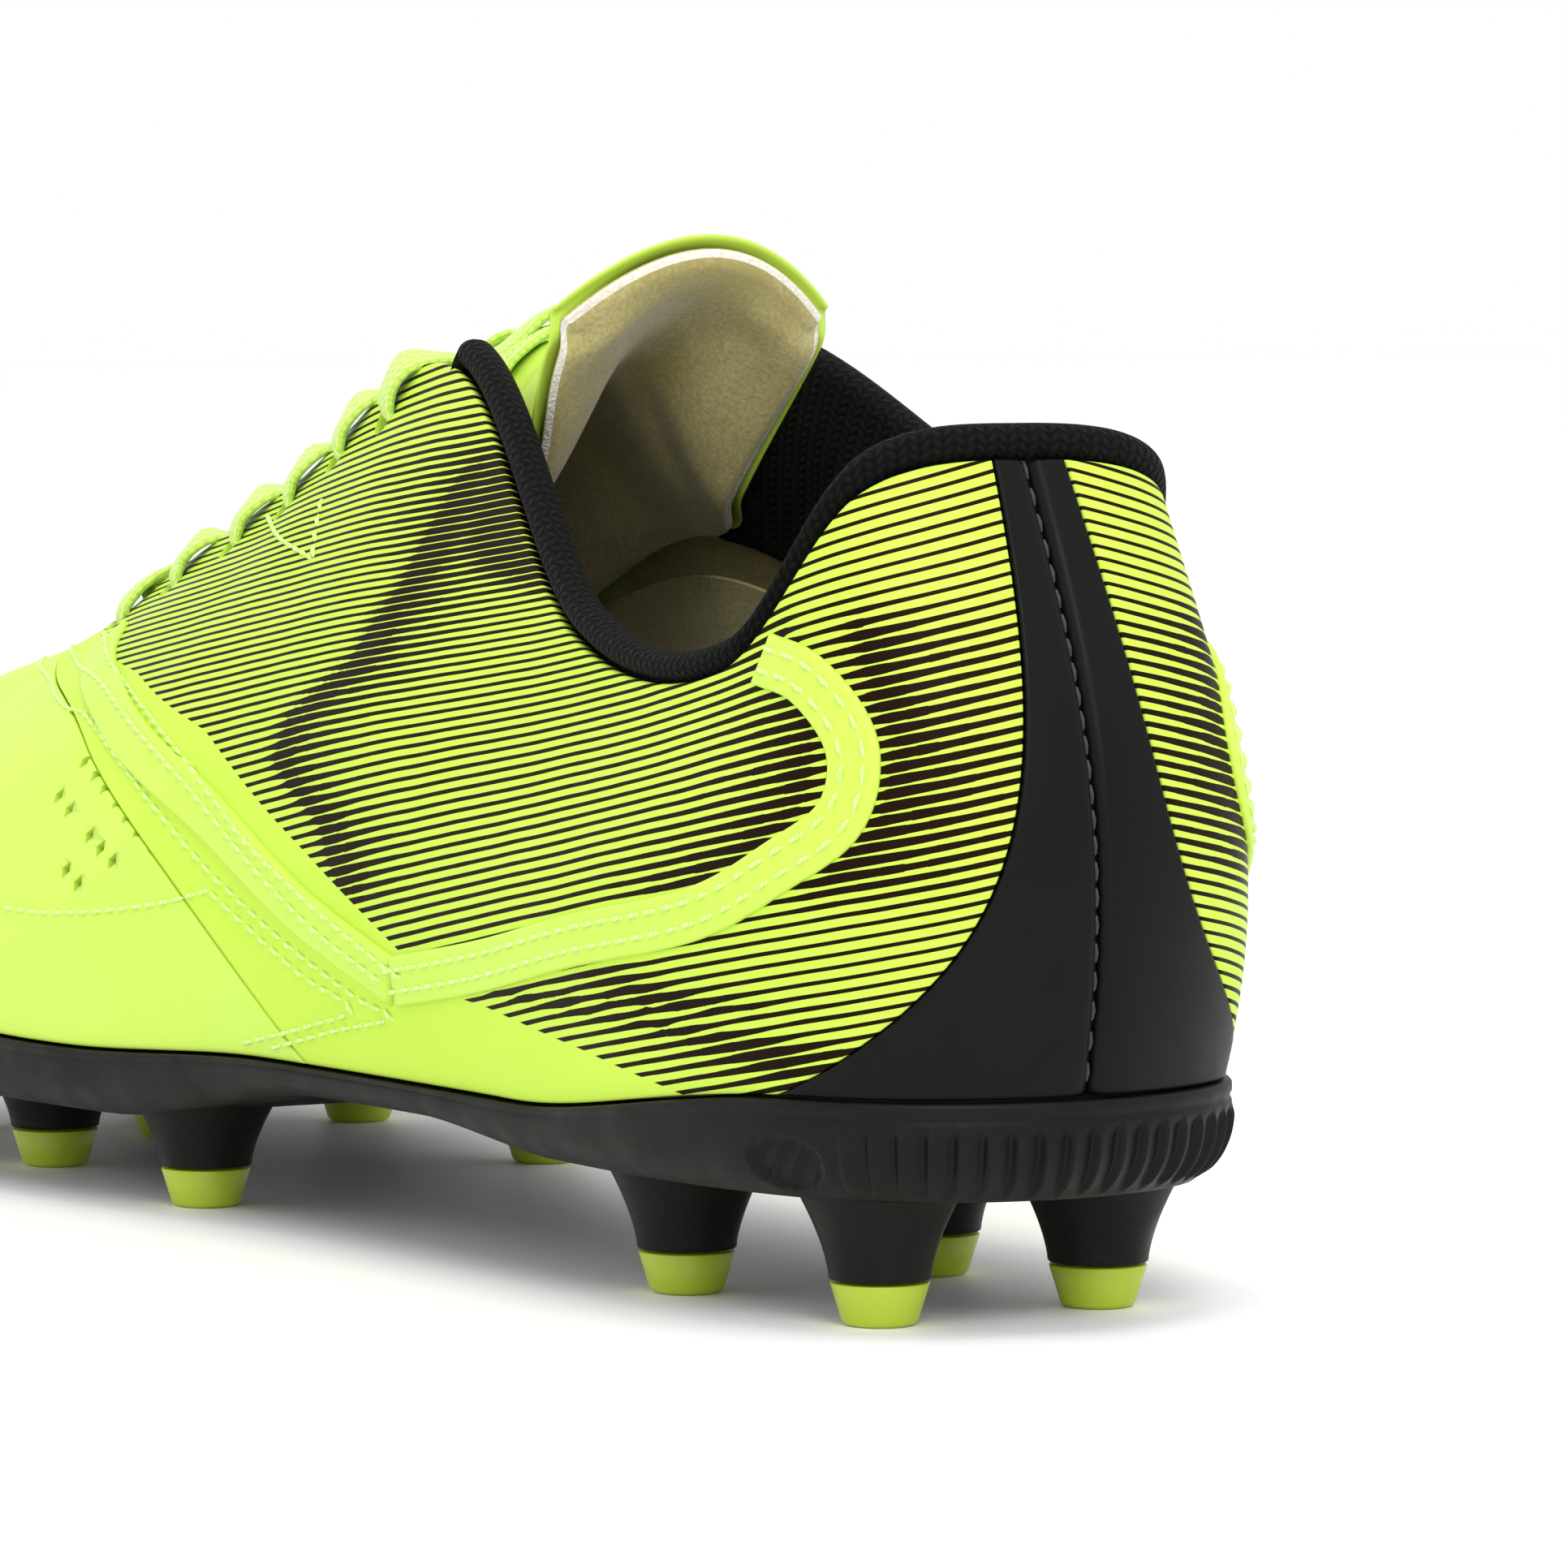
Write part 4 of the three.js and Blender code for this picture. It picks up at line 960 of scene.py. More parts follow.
def bandHeight(places, flip):
    # height of the raised band under each place, or 0 beside it
    high = np.zeros(len(places))
    for path in (bandCentre, edgeCentre):
        path = np.array(path)
        fine = spline(path, np.linspace(0, len(path) - 1, 300), closed=False)
        a = mirrorStation(fine[:, 0]) if flip else fine[:, 0]
        line = wall(a, shareAtHeight(a, fine[:, 1]))
        near = np.linalg.norm(places[:, None] - line[None], axis=-1).min(1)
        high = np.maximum(high, overlayLook["height"] * ease(3.0, 2.4, near))
    return high


def makeStitches(name, flip):
    rows = list(stitchRows)
    fine = spline(bandCentre, np.linspace(0, len(bandCentre) - 1, 40), closed=False)
    for step in (-1.15, 1.15):
        a = fine[:, 0]
        w = np.minimum(shareAtHeight(a, fine[:, 1]), 0.985)
        across = unit(np.cross(wallNormal(a, w), np.gradient(wall(a, w), axis=0))) * step
        a, w = slideOnWall(a, w, across)
        rows.append(np.column_stack([a, wall(a, w)[:, 2]]))
    parts = []
    for row in rows:
        a, z, run = evenSteps(row, seam["pitch"])
        if flip:
            a = mirrorStation(a)
        w = np.minimum(shareAtHeight(a, z), 0.99)
        places = wall(a, w)
        normal = wallNormal(a, w)
        if flip:
            ahead = wall(a + 0.02, shareAtHeight(a + 0.02, z))
            run = unit(np.gradient(places, axis=0)) if len(places) > 1 else unit(ahead - places)
        run = unit(run - normal * (run * normal).sum(-1, keepdims=True))
        centres = places + normal * (bandHeight(places, flip) + seam["rise"])[:, None]
        parts.append((centres, run, normal))
    centres, runs, normals = (np.concatenate(list(column)) for column in zip(*parts))
    points, faces = stitchMesh(centres, runs, normals, seam["length"], seam["radius"])
    addPiece(name, points, faces, threadMaterial)


def makeHeelSeam():
    # black thread down the sunk seam between the two halves of the heel strip
    share = np.linspace(0.03, 0.985, 24)
    places = wall(heelStation + 0 * share, share)
    normal = wallNormal(heelStation + 0 * share, share)
    run = unit(np.gradient(places, axis=0))
    side = unit(np.cross(normal, run))
    centres = places - normal * 0.5 + side * 0.55
    points, faces = stitchMesh(centres, run, normal, 2.3, 0.26)
    addPiece("heelSeam", points, faces, darkThreadMaterial)


makeStitches("outerStitches", False)
makeStitches("innerStitches", True)
makeHeelSeam()
print("seams made")


# outsole and studs

sole = {
    "overhang": 0.8, "ribPitch": 3.0, "ribDepth": 0.95, "tipHeight": 4.8, "tipRadius": 4.1,
    "splitRadius": 5.3, "heelRoot": 9.4, "foreRoot": 8.4, "peg": 2.0, "pegLength": 3.0, "sides": 56,
    "flare": 1.5, "ribsFrom": (-44, -38), "ribsTo": (22, 29), "ovalArc": 33.5, "ovalHeight": 0.36,
    "ovalSize": (4.6, 0.26),
}
studs = {
    "heel_outer_rear": (0.304, 0.066), "heel_outer_front": (0.391, 0.184),
    "heel_inner_rear": (-0.296, 0.071),
    "heel_inner_front": (-0.274, 0.184), "forefoot_outer_rear": (0.587, 0.528),
    "forefoot_outer_middle": (0.522, 0.695), "forefoot_outer_front": (0.36, 0.85),
    "forefoot_inner_rear": (-0.63, 0.6), "forefoot_inner_middle": (-0.68, 0.79),
    "forefoot_inner_front": (-0.42, 0.895), "forefoot_centre": (-0.06, 0.775),
}


def spineAt(a):
    middle = (outlineAt(a) + outlineAt(-a)) / 2
    middle[..., 1] = np.clip(middle[..., 1], -0.9 * boot["length"], -0.1 * boot["length"])
    return middle


def footprint(a, rings):
    # body inside the outline; a ring is a share from the spine to the edge, a growth and a height of y
    columns = []
    for share, grow, height in rings:
        edge = outlineAt(a) + outwardAt(a) * np.asarray(grow + 0 * a)[:, None]
        ring = mix(spineAt(a), edge, share)
        ring[:, 2] = height(ring[:, 1])
        columns.append(ring)
    return np.stack(columns)


def lathe(profile, sides):
    # profile of (radius, height), turned round the z axis; it starts and ends on the axis
    angles = np.linspace(0, 2 * np.pi, sides, endpoint=False)
    circle = np.column_stack([np.cos(angles), np.sin(angles), 0 * angles])
    rings = [circle * radius + [0, 0, height] for radius, height in profile[1:-1]]
    points, faces = tube(np.array(rings))
    points[-2] = [0, 0, profile[0][1]]
    points[-1] = [0, 0, profile[-1][1]]
    return points, faces


def heelArc(a):
    # signed distance round the heel, positive on the outer side
    fine = np.linspace(5, 13, 1601)
    line = outlineAt(fine)
    length = lengthAlong(line)
    return np.interp(heelStation, fine, length) - np.interp(a, fine, length)


def plateTop(y):
    return soleLine(y) - boot["gap"]


def plateMesh():
    # share h of the side's height: growth = overhang - 4 (1 - h)^4, plus a lip, ribs round the heel
    # and an oval dent with two slashes
    a = np.concatenate([np.linspace(0, 7, 90, endpoint=False),
                        np.linspace(7, 11.2, 620, endpoint=False),
                        np.linspace(11.2, 18, 90, endpoint=False)])
    arc = heelArc(a)
    rings = [(0.0, 0, plateTop), (0.5, 0, plateTop), (0.9, sole["overhang"], plateTop)]
    tooth = np.mod(arc / sole["ribPitch"], 1)
    saw = np.where(tooth < 0.8, tooth / 0.8, (1 - tooth) / 0.2)
    ribbed = ease(*sole["ribsTo"][::-1], arc) * ease(*sole["ribsFrom"], arc)
    for h in np.concatenate([1 - np.array([0, 0.01, 0.03, 0.06]), np.linspace(0.92, 0, 30)]):
        grow = sole["overhang"] - 4 * (1 - h) ** 4 - 0.35 * max(0, (h - 0.96) / 0.04) ** 2
        grow -= 0.28 * math.exp(-((h - 0.84) / 0.03) ** 2)
        rib = sole["ribDepth"] * (saw - 0.6) * ribbed * ease(0.02, 0.14, h) * ease(0.78, 0.62, h)
        across = (arc - sole["ovalArc"]) / sole["ovalSize"][0]
        up = (h - sole["ovalHeight"]) / sole["ovalSize"][1]
        inside = ease(1.12, 0.85, np.hypot(across, up))
        slash = np.maximum(0, 1 - np.abs(np.mod(across * 1.6 + up * 0.8, 1) - 0.5) / 0.2)
        dent = inside * (-0.9 + 0.6 * slash)
        lift = h
        rings.append((1.0, grow + rib + dent,
                      lambda y, lift=lift: mix(plateBottom(y), plateTop(y), lift)))
    rings += [(0.8, -2.2, plateBottom), (0.4, 0, plateBottom), (0.0, 0, plateBottom)]
    return tube(footprint(a, rings), capped=False)


def studProfile(place_):
    top = plateBottom(place_[1]) + 1.5
    root = sole["heelRoot"] if -place_[1] / boot["length"] < 0.3 else sole["foreRoot"]
    socket = sole["tipHeight"] + sole["pegLength"] + boot["gap"]
    hole = sole["peg"] + boot["gap"]
    share = np.linspace(0, 1, 16)
    flare = [(mix(sole["splitRadius"], root, s ** sole["flare"]),
              mix(sole["tipHeight"], top, s)) for s in share]
    flare[0] = (sole["splitRadius"] - 0.12, sole["tipHeight"])
    flare.insert(1, (sole["splitRadius"] + 0.02, sole["tipHeight"] + 0.15))
    return [(0, socket), (hole, socket), (hole, sole["tipHeight"])] + flare + [(0, top)]


def makeSole():
    parts = [plateMesh()]
    for shares in studs.values():
        centre = np.array([shares[0] * boot["halfWidth"], -shares[1] * boot["length"], 0])
        points, faces = lathe(studProfile(centre), sole["sides"])
        parts.append((points + centre, faces))
    points, faces = joinParts(parts)
    addPiece("outsole", points, faces, soleMaterial,
             replaces=["outsole_plate"], merge=0.004)


def makeTips():
    # cone with a rounded foot, and the peg that holds it in its stud
    split = sole["tipHeight"] - boot["gap"]
    radius = sole["tipRadius"]
    round_ = 1.0
    corner = [(radius - round_ + round_ * math.sin(t),
               round_ * (1 - math.cos(t))) for t in np.linspace(0, 1.35, 8)]
    profile = [(0, 0), (radius * 0.5, 0)] + corner + [(sole["splitRadius"] - 0.12, split - 0.12),
               (sole["splitRadius"] - 0.25, split), (sole["peg"], split),
               (sole["peg"], split + sole["pegLength"]),
               (0, split + sole["pegLength"])]
    for name, shares in studs.items():
        points, faces = lathe(profile, sole["sides"])
        centre = np.array([shares[0] * boot["halfWidth"], -shares[1] * boot["length"], 0])
        words = name.title().replace("_", "")
        addPiece("studTip" + words, points + centre, faces, tipMaterial, replaces=["stud_tip_" + name])


makeSole()
makeTips()
print("sole made")


# inside

inside = {
    "liningOuter": -3.75, "liningInner": -4.55, "pad": 3.2, "rollRadius": 1.9, "boardTop": 1.8,
    "liner": 3.5,
    "linerInset": -6.65,
}


padLook = {"pressure": 4.0, "frames": 20, "mass": 0.3, "quality": 6}


def fillWithFoam(piece, held, cap):
    # cloth under inner pressure: held points stay, no point moves further than cap millimetres, and the
    # result is subdivided once
    mesh = piece.data
    group = piece.vertex_groups.new(name="held")
    group.add(np.flatnonzero(held).tolist(), 1.0, "REPLACE")
    cloth = piece.modifiers.new("padding", "CLOTH")
    cloth.settings.vertex_group_mass = "held"
    cloth.settings.use_pressure = True
    cloth.settings.uniform_pressure_force = padLook["pressure"]
    cloth.settings.mass = padLook["mass"]
    cloth.settings.quality = padLook["quality"]
    cloth.settings.effector_weights.gravity = 0
    cloth.collision_settings.use_collision = False
    cloth.point_cache.frame_start = 1
    cloth.point_cache.frame_end = padLook["frames"]
    for number in range(1, padLook["frames"] + 1):
        bpy.context.scene.frame_set(number)
    shown = piece.evaluated_get(bpy.context.evaluated_depsgraph_get())
    before = np.empty(3 * len(mesh.vertices))
    after = np.empty(3 * len(mesh.vertices))
    mesh.vertices.foreach_get("co", before)
    shown.data.vertices.foreach_get("co", after)
    step = (after - before).reshape(-1, 3)
    far = np.linalg.norm(step, axis=1, keepdims=True)
    step *= np.minimum(1, cap / 1000 / np.maximum(far, 1e-9))
    middle = 1000 * float(np.median(far[~held]))
    print(piece.name, "filled, middle of its moves", round(middle, 2), "mm")
    piece.modifiers.remove(cloth)
    piece.vertex_groups.remove(group)
    bpy.context.scene.frame_set(1)
    mesh.vertices.foreach_set("co", (before + step.ravel()))
    mesh.update()
    smooth = piece.modifiers.new("smooth", "SUBSURF")
    smooth.levels = 1
    smooth.render_levels = 1
    applyModifiers(piece)


def makeLinings():
    for word, node, side in (("outer", "lateral", 1), ("inner", "medial", -1)):
        a, w = panelGrid(lambda s: vampSeam(s) + 0.02, lambda s: 5.48 + 0 * s, 0.02, 0.66,
                         80, 40, 0.25, (70, 40))
        if side < 0:
            a = mirrorStation(a)
        points, faces = panelSlab(a, w, inside["liningOuter"], 0.8, 0.25)
        addPiece(word + "QuarterLining", points, faces, liningMaterial,
                 replaces=[node + "_quarter_lining"])
    w = np.linspace(0.02, 1, 40)[:, None]
    half = np.concatenate([ridgeEnd * np.linspace(0, 1, 36)[None, :] + 0 * w,
                           ridgeEnd + (vampSeam(w) - 0.02 - ridgeEnd) * np.linspace(0, 1, 31)[None, 1:]], 1)
    a = np.concatenate([-half[:, ::-1], half[:, 1:]], 1)
    w = w + 0 * a
    base = wall(a, w)
    normal = wallNormal(a, w)
    open_ = np.abs(a[-1]) > ridgeEnd + 1e-6
    points, faces = slab(base + normal * inside["liningOuter"], base + normal * inside["liningInner"],
                         openTop=open_[:-1] | open_[1:])
    addPiece("vampLining", points, faces, liningMaterial, replaces=["vamp_lining"],
             merge=0.004)


def makeSockliner():
    # cushioned insole: its edge is rounded and turns up a little round the heel
    a = np.linspace(0, stations, 320, endpoint=False)
    rings = []
    thick = inside["liner"]
    grow = inside["linerInset"]

    def low(y):
        return soleLine(y) + inside["boardTop"] + boot["gap"]

    for share in (0, 0.35, 0.7, 0.92):
        rings.append((share, grow, lambda y: low(y) + thick - 0.35))
    for t in np.linspace(0, np.pi / 2, 7):
        drop = 1.2 * (1 - math.cos(t))
        rings.append((1, grow - 1.2 * (1 - math.sin(t)), lambda y, drop=drop: low(y) + thick - drop))
    rings += [(1, grow, low), (0.9, grow, low), (0.4, grow, low), (0, grow, low)]
    points, faces = tube(footprint(a, rings), capped=False)
    addPiece("insole", points, faces, sockMaterial, replaces=["sockliner"],
             merge=0.004)


def padAt(a, w):
    return inside["pad"] * ease(5.3, 6.3, fromToe(a)) * ease(0.45, 0.66, w)


def makeCollar():
    # one closed section from the outside of the top line, over the roll, down the padded lining and
    # back up behind it. Roll: centre + 1.15 r cos(t) normal + r sin(t) rise; lining: wall - depth
    # along the normal
    a = np.linspace(collarStart + 0.02, stations - collarStart - 0.02, 210)[:, None]
    radius = inside["rollRadius"]
    top = wall(a, 1.0 + 0 * a)
    normal = wallNormal(a, 1.0 + 0 * a)
    rise = unit(upWall(a, 1.0 + 0 * a))
    centre = top + rise * (radius + 0.6) - normal * 1.2
    angles = np.linspace(-1.9, 3.0, 14)[None, :, None]
    roll = centre + normal * np.cos(angles) * radius * 1.15 + rise * np.sin(angles) * radius
    low = mix(0.72, 0.03, ease(5.5, 5.8, fromToe(a)))
    share = mix(0.955, low, np.linspace(0, 1, 26)[None, :] ** 1.15)
    full = padAt(a, share) * (1 - 0.75 * ease(0.86, 1.0, share))
    depth = -inside["liningInner"] + full
    soft = 1.0 * ease(0.45, 0.6, share) * ease(0.99, 0.8, share) * ease(5.6, 6.5, fromToe(a))
    inner = offset(a + 0 * share, share, -(depth + 0.6 * soft))
    back = share[:, ::-1]
    outer = offset(a + 0 * back, back, inside["liningOuter"] + 1.5 * ease(0.6, 0.68, back))
    rings = np.concatenate([roll, inner, outer], 1)
    points, faces = tube(rings)
    run = np.cumsum(np.linalg.norm(np.diff(top[:, 0], axis=0, prepend=top[:1, 0]), axis=-1))
    step = np.linalg.norm(np.diff(rings, axis=1, prepend=rings[:, :1]), axis=-1)
    uv = np.stack([run[:, None] + 0 * step, np.cumsum(step, 1)], -1).reshape(-1, 2)
    uv = np.concatenate([uv, uv[:1], uv[-1:]])
    collar = addPiece("collarPad", points, faces, knitMaterial,
                      replaces=["collar_binding", "collar_lining", "collar_foam"],
                      uv=uv)
    column = np.arange(len(points)) % rings.shape[1]
    held = (column < roll.shape[1]) | (column >= roll.shape[1] + inner.shape[1] - 2)
    held[-2:] = True
    fillWithFoam(collar, held, 0.8)


makeLinings()
makeSockliner()
makeCollar()
print("inside made")


# tongue

tongue = {
    "front": 1.9, "laced": 0.72, "split": 0.82, "rise": 11.4, "reach": 26.0, "face": 1.2,
    "foamTop": 1.5,
    "foamBottom": 5.5,
}


def gapMiddle(a):
    return (topAt(a) + topAt(-a)) / 2


def gapHalf(a):
    return np.abs(topAt(a)[..., 0] - topAt(-a)[..., 0]) / 2


def tongueSection(run):
    # middle, half width and sag of the tongue: run 0 under the vamp, 1 at its free end
    station = mix(tongue["front"], collarStart, np.minimum(run / tongue["laced"], 1))
    free = np.maximum((run - tongue["laced"]) / (1 - tongue["laced"]), 0)
    centre = gapMiddle(station)
    centre[..., 1] += tongue["reach"] * free
    centre[..., 2] += mix(-5.6, 2.6, ease(2, 4.6, station)) + tongue["rise"] * (
        free * 0.8 + 0.2 * np.sin(free * np.pi / 2))
    waist = mix(mix(12.5, 18.5, ease(2, 4.9, station)), 15, ease(0, 0.3, free))
    half = mix(waist, 17.5, ease(0.35, 0.8, free))
    sag = mix(mix(4, 22, ease(2, 4.1, station)), 8, ease(0.2, 1, free))
    return centre, half, sag


def tongueNormal(run, across):
    _, half, sag = tongueSection(run)
    ahead = tongueSection(run + 0.01)[0]
    behind = tongueSection(run - 0.01)[0]
    slope = (ahead[..., 2] - behind[..., 2]) / (ahead[..., 1] - behind[..., 1])
    return unit(np.stack([2 * sag * across / half, -slope + 0 * across, 1 + 0 * slope * across], -1))


def tonguePoint(run, across, depth):
    # point = middle + half across x - sag across^2 z - depth along the normal, with rounded corners
    run, across, depth = np.broadcast_arrays(run, across, depth)
    centre, half, sag = tongueSection(run)
    point = centre.copy()
    corner = 0.3 * ease(0.94, 1, run) * across ** 2
    point[..., 0] += half * across
    point[..., 1] -= 3 * corner * half / 4
    point[..., 2] -= sag * across ** 2
    return point - tongueNormal(run, across) * depth[..., None]


def tongueSheet(outerDepth, innerDepth, taper, rows, columns, endColumns):
    # sheet of the tongue whose underside comes up to a thin edge all round the free end
    run = np.concatenate([np.linspace(0, 0.93, columns),
                          mix(0.93, 1, np.linspace(0, 1, endColumns)[1:] ** 0.7)])[None, :]
    across = np.sin(np.linspace(-1, 1, rows) * np.pi / 2)[:, None]
    toSide = (1 - np.abs(across)) * 17 + 0 * run
    toEnd = (1 - run) * 95 + 0 * across
    near = np.minimum(toSide, toEnd)
    bevel = 1 - np.sqrt(np.clip(1 - (1 - near / 6) ** 2, 0, 1))
    thin = (innerDepth - outerDepth) * (1 - taper) * bevel
    thin = np.where(near < 6, thin, 0)
    outer = tonguePoint(run, across, outerDepth + 0 * toSide)
    inner = tonguePoint(run, across, innerDepth - thin)
    points, faces = slab(outer, inner)
    return points, faces


def bendTongue(piece):
    start = place(tongueSection(np.array(tongue["split"] - 0.07))[0])
    end = place(tongueSection(np.array(tongue["split"] + 0.07))[0])
    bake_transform(piece)


def makeTongue():
    points, faces = tongueSheet(0.0, tongue["face"], 0.2, 50, 150, 30)
    face = addPiece("tongueFace", points, faces, upperMaterial, body=None,
                    replaces=["tongue_face", "tongue_flap_face"])
    bendTongue(face)
    rows, columns, endColumns = 30, 80, 14
    points, faces = tongueSheet(tongue["foamTop"], tongue["foamBottom"], 0.3, rows, columns, endColumns)
    pad = addPiece("tonguePadding", points, faces, liningMaterial, body=None,
                   replaces=["tongue_padding", "tongue_flap_padding"])
    pad.data.materials.append(foamMaterial)
    columns += endColumns - 1
    skin = 2 * (rows - 1) * (columns - 1)
    index = np.zeros(len(pad.data.polygons), np.int32)
    index[skin:] = 1
    pad.data.polygons.foreach_set("material_index", index)
    number = np.arange(2 * rows * columns)
    row = number % (rows * columns) // columns
    column = number % columns
    onBorder = (row < 2) | (row > rows - 3) | (column < 4) | (column > columns - 3)
    held = (number < rows * columns) | onBorder
    fillWithFoam(pad, held, 0.7)
    bendTongue(pad)


makeTongue()
print("tongue made")


# lace

lace = {
    "width": 6.3, "thick": 1.3, "inHole": 4.2, "step": 0.5, "barLift": 3.4, "edgeRise": 0.3,
    "outside": 1.1,
    "inside": -4.57, "edgeOutside": 0.95, "overTongue": 1.2,
}


def sideStation(a, side):
    return a if side > 0 else mirrorStation(a)


def atEdge(a, side, isOver, facing):
    own = sideStation(a, side)
    normal = wallNormal(own, 1.0)
    point = wall(own, 1.0) + normal * (lace["edgeOutside"] if isOver else lace["inside"])
    if isOver:
        point = point + unit(upWall(own, 1.0)) * lace["edgeRise"]
    return point, normal * facing, lace["width"]


def onTongue(a, across, lift, facing):
    run = np.float64(tongue["laced"] * (a - tongue["front"]) / (collarStart - tongue["front"]))
    share = np.float64(across * gapHalf(a) / tongueSection(run)[1])
    point = tonguePoint(run, share, np.float64(-(lace["overTongue"] + lift)))
    return point, tongueNormal(run, share) * facing, lace["width"]


def turnThrough(pair, side, inward, facing):
    # half circle through an eyelet
    a, w = eyeletPlace(pair, side)
    normal = wallNormal(a, w)
    away = -unit(upWall(a, w))
    radius = (lace["outside"] - lace["inside"]) / 2
    centre = wall(a, w) + normal * (lace["outside"] + lace["inside"]) / 2 - away * radius
    stops = []
    for step in range(-2, 3):
        angle = (-step if inward else step) * math.pi / 4
        radial = away * math.cos(angle) + normal * math.sin(angle)
        width = mix(lace["inHole"], lace["width"], min(1, 1.8 * math.sin(angle) ** 2))
        stops.append((centre + radial * radius, radial * (facing if inward else -facing), width))
    return stops


def crossing(start, end, side, startOver, lift, facing):
    def at(share):
        return mix(start, end, share)

    first = ([onTongue(at(0.3), side * 0.4, lace["step"], facing)] if startOver else
             [onTongue(at(0.18), side * 0.74, 0, facing), onTongue(at(0.3), side * 0.45, 0, facing)])
    return [atEdge(at(0.1), side, startOver, facing), *first, onTongue(at(0.5), 0, lift, facing),
            onTongue(at(0.7), -side * 0.45, 0, facing), onTongue(at(0.82), -side * 0.74, 0, facing),
            atEdge(at(0.9), -side, False, facing)]


def laceHalf(startSide):
    # from the middle of the lowest bar, crossing over at each pair of eyelets, to the tucked end
    side = startSide
    facing = 1
    first = upper["firstEyelet"]
    stops = [onTongue(first, 0.45 * side, lace["barLift"], facing), atEdge(first, side, True, facing),
             *turnThrough(0, side, True, facing)]
    facing = -facing
    for pair in range(upper["eyeletPairs"]):
        start = first + upper["eyeletPitch"] * pair
        isLast = pair == upper["eyeletPairs"] - 1
        end = start + (0.2 if isLast else upper["eyeletPitch"])
        lift = lace["thick"] + 2 * boot["gap"] if (pair % 2 == 0) == (startSide > 0) else 0
        stops += crossing(start, end, side, pair > 0, lift, facing)
        side = -side
        if isLast:
            own = sideStation(end, side)
            w = 1 - 5 / np.linalg.norm(upWall(own, 1.0))
            stops.append((offset(own, w, lace["inside"]), wallNormal(own, w) * facing, lace["width"]))
        else:
            stops += turnThrough(pair + 1, side, False, facing)
            facing = -facing
    return stops


def makeLace():
    # flat band along the stops: across = run x face, section |x/w|^4 + |y/t|^2.4 = 1
    stops = laceHalf(1)[::-1] + [onTongue(upper["firstEyelet"], 0, lace["barLift"], 1)] + laceHalf(-1)
    path = np.array([stop[0] for stop in stops])
    facing = np.array([stop[1] for stop in stops])
    width = np.array([stop[2] for stop in stops])
    knots = np.concatenate([[0], np.cumsum(np.sqrt(np.linalg.norm(np.diff(path, axis=0), axis=1)))])
    fine = np.linspace(0, knots[-1], 12 * len(stops))
    line = throughStops(knots, path, fine)
    length = lengthAlong(line)
    t = np.interp(np.arange(0, length[-1], 0.8), length, fine)
    centre = throughStops(knots, path, t)
    run = unit(np.gradient(centre, axis=0))
    across = unit(np.cross(run, throughStops(knots, facing, t)))
    face = np.cross(across, run)
    angles = np.linspace(0, 2 * np.pi, 20, endpoint=False)
    wide = np.sign(np.cos(angles)) * np.abs(np.cos(angles)) ** 0.5
    thick = np.sign(np.sin(angles)) * np.abs(np.sin(angles)) ** 0.85
    half = np.interp(t, knots, width)[:, None, None] / 2
    rings = centre[:, None] + across[:, None] * wide[None, :, None] * half + face[:, None] * (
        thick * lace["thick"] / 2)[None, :, None]
    points, faces = tube(rings)
    along = np.interp(t, fine, length)[:, None] + 0 * wide[None]
    uv = np.stack([along, wide[None] * half[..., 0] + 3.0], -1).reshape(-1, 2)
    uv = np.concatenate([uv, uv[:1], uv[-1:]])
    addPiece("laceBand", points, faces, laceMaterial, replaces=["lace"], uv=uv)
    print("lace", round(float(length[-1])), "mm")


makeLace()

hiddenParts = {
    "insole_board": boardMaterial, "toe_puff": boardMaterial, "heel_counter": boardMaterial,
    "lateral_eyestay_reinforcement": tapeMaterial, "medial_eyestay_reinforcement": tapeMaterial,
}
for node, material in hiddenParts.items():
    mesh = bpy.data.objects[node].data
    mesh.materials.clear()
    mesh.materials.append(material)
print("pieces done")


# floor, light and camera

def addStage():
    # pale floor, large enough that its edge lies behind the shoe's shadow
    size = 6.0
    mesh = bpy.data.meshes.new("floor")
    mesh.from_pydata([(-size, -size, 0), (size, -size, 0), (size, size, 0), (-size, size, 0)], [],
                     [(0, 1, 2, 3)])
    floor = bpy.data.objects.new("floor", mesh)
    bpy.context.scene.collection.objects.link(floor)
    material, shader = startMaterial("pale painted floor", 0.55)
    shader.inputs["Base Color"].default_value = linear("FFFFFF")
    mesh.materials.append(material)


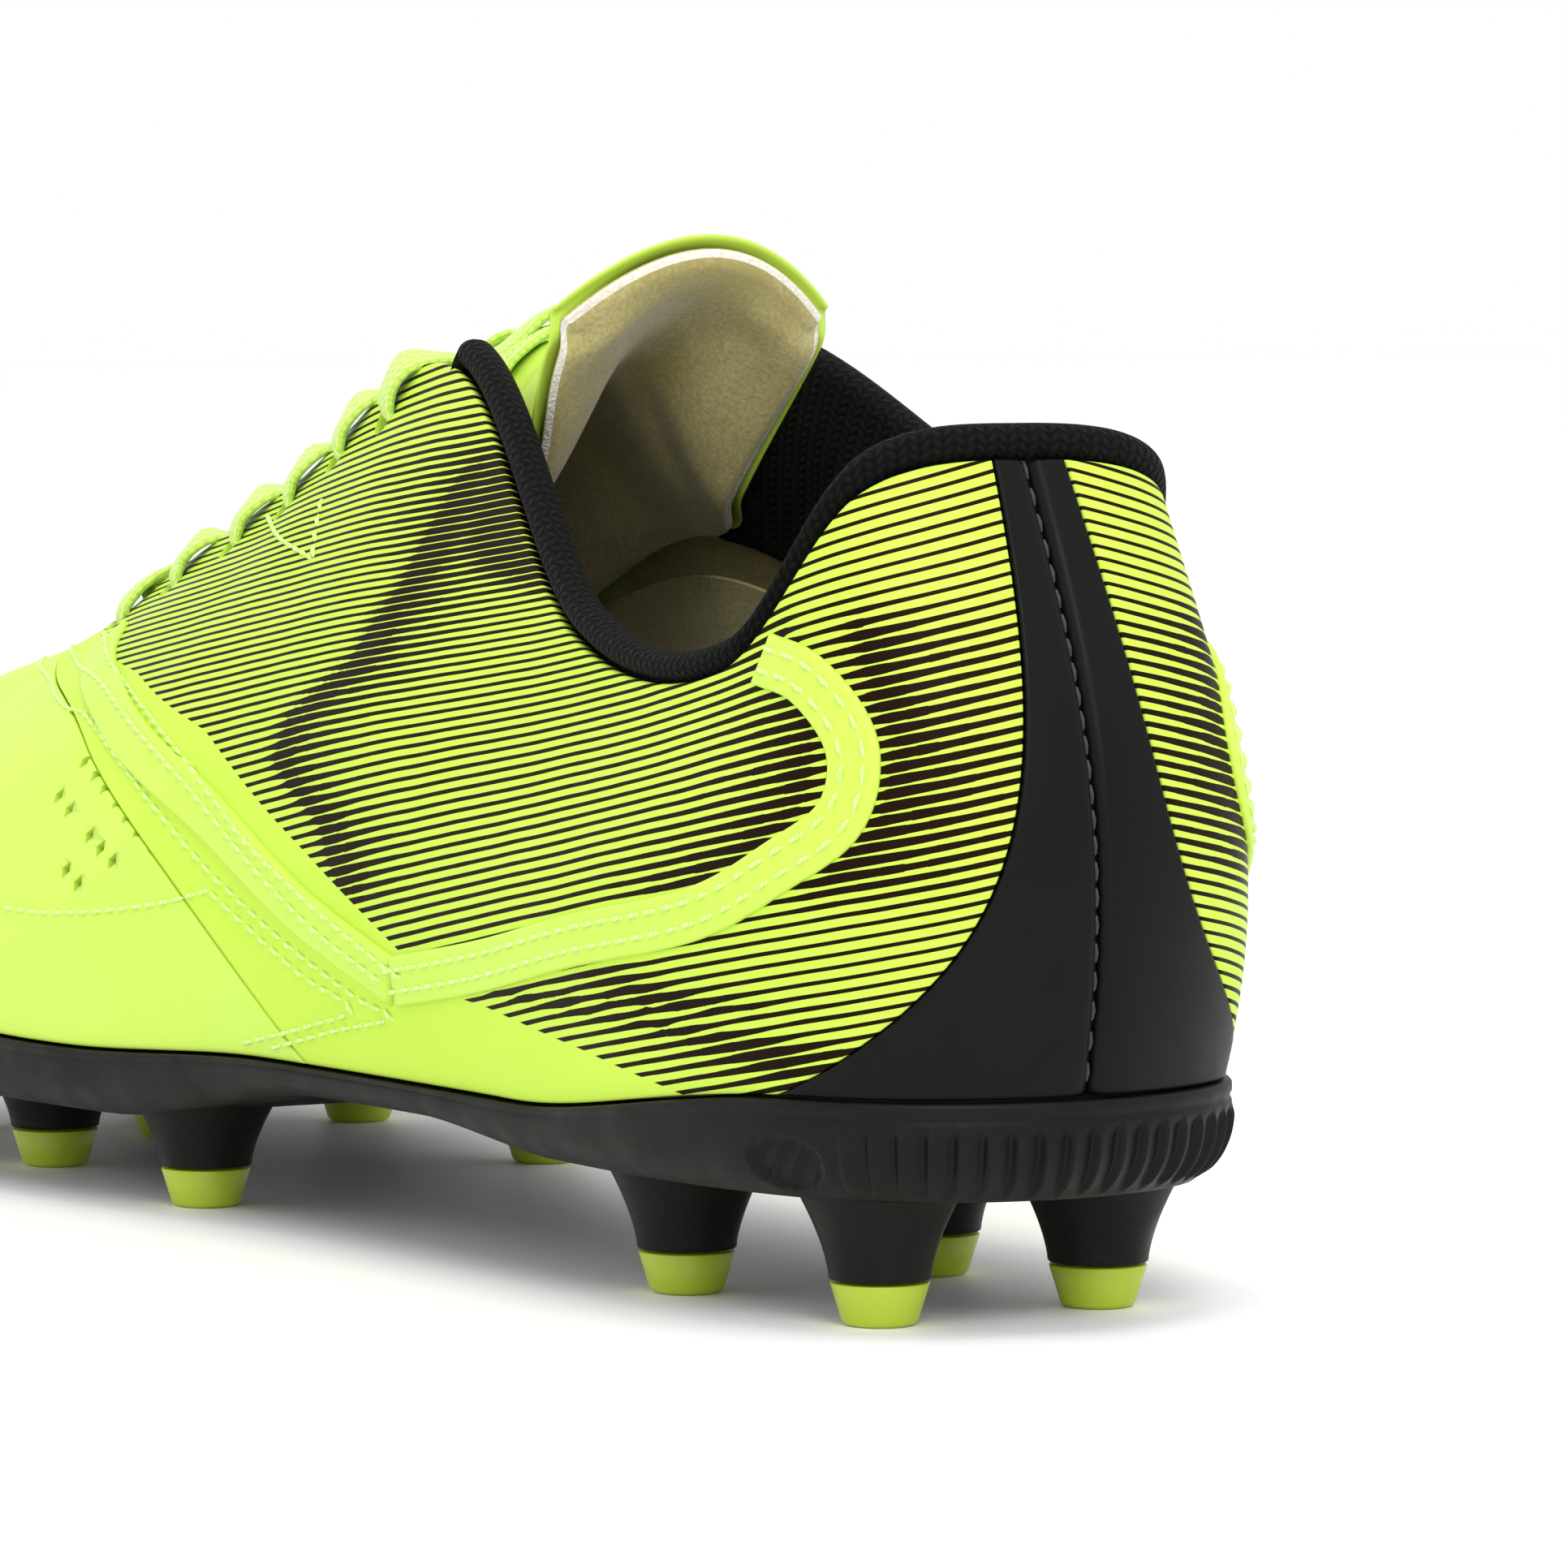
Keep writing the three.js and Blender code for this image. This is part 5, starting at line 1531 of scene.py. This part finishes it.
# place, target, size and power of each light
lights = {
    "keyLight": ((0.1, 0.3, 1.7), (0, 0, 0.05), 0.7, 7),
    "sideLight": ((1.2, -0.9, 0.7), (0, 0, 0.05), 0.6, 1.5),
    "rearLight": ((0.3, 1.0, 0.8), (0, 0.06, 0.08), 0.5, 5),
}


def addLight(name, place_, target, size, power):
    light = bpy.data.lights.new(name, "AREA")
    light.shape = "DISK"
    light.size = size
    light.energy = power
    lamp = bpy.data.objects.new(name, light)
    lamp.location = place_
    lamp.rotation_euler = (Vector(target) - Vector(place_)).to_track_quat("-Z", "Y").to_euler()
    bpy.context.scene.collection.objects.link(lamp)


def addWorld():
    world = bpy.data.worlds.new("studio")
    bpy.context.scene.world = world
    world.use_nodes = True
    background = world.node_tree.nodes["Background"]
    background.inputs["Color"].default_value = (1.0, 1.0, 1.0, 1.0)
    background.inputs["Strength"].default_value = 1.0


cameraView = {"turn": 31.0, "distance": 850.0, "height": 112.0, "lens": 190.0, "yaw": 0.668,
              "pitch": 3.77}


def addCamera():
    # stands behind the heel's outer side and looks a little down and left
    turn = math.radians(cameraView["turn"])
    stud = np.array([firstStud[0] * boot["halfWidth"], firstStud[1] * boot["length"], 0])
    back = np.array([math.sin(turn), math.cos(turn), 0])
    eye = place(stud + back * cameraView["distance"] + np.array([0, 0, cameraView["height"]]))
    heading = math.atan2(-back[1], -back[0]) + math.radians(cameraView["yaw"])
    pitch = math.radians(cameraView["pitch"])
    look = Vector((math.cos(heading) * math.cos(pitch), math.sin(heading) * math.cos(pitch),
                   -math.sin(pitch)))
    data = bpy.data.cameras.new("camera")
    data.lens = cameraView["lens"]
    data.sensor_width = 36.0
    data.clip_start = 0.02
    camera = bpy.data.objects.new("camera", data)
    camera.location = eye.tolist()
    camera.rotation_euler = look.to_track_quat("-Z", "Y").to_euler()
    bpy.context.scene.collection.objects.link(camera)
    bpy.context.scene.camera = camera


bpy.context.scene.view_settings.view_transform = "Standard"
addStage()
addWorld()
for lightName, settings in lights.items():
    addLight(lightName, *settings)
addCamera()
print("stage made")
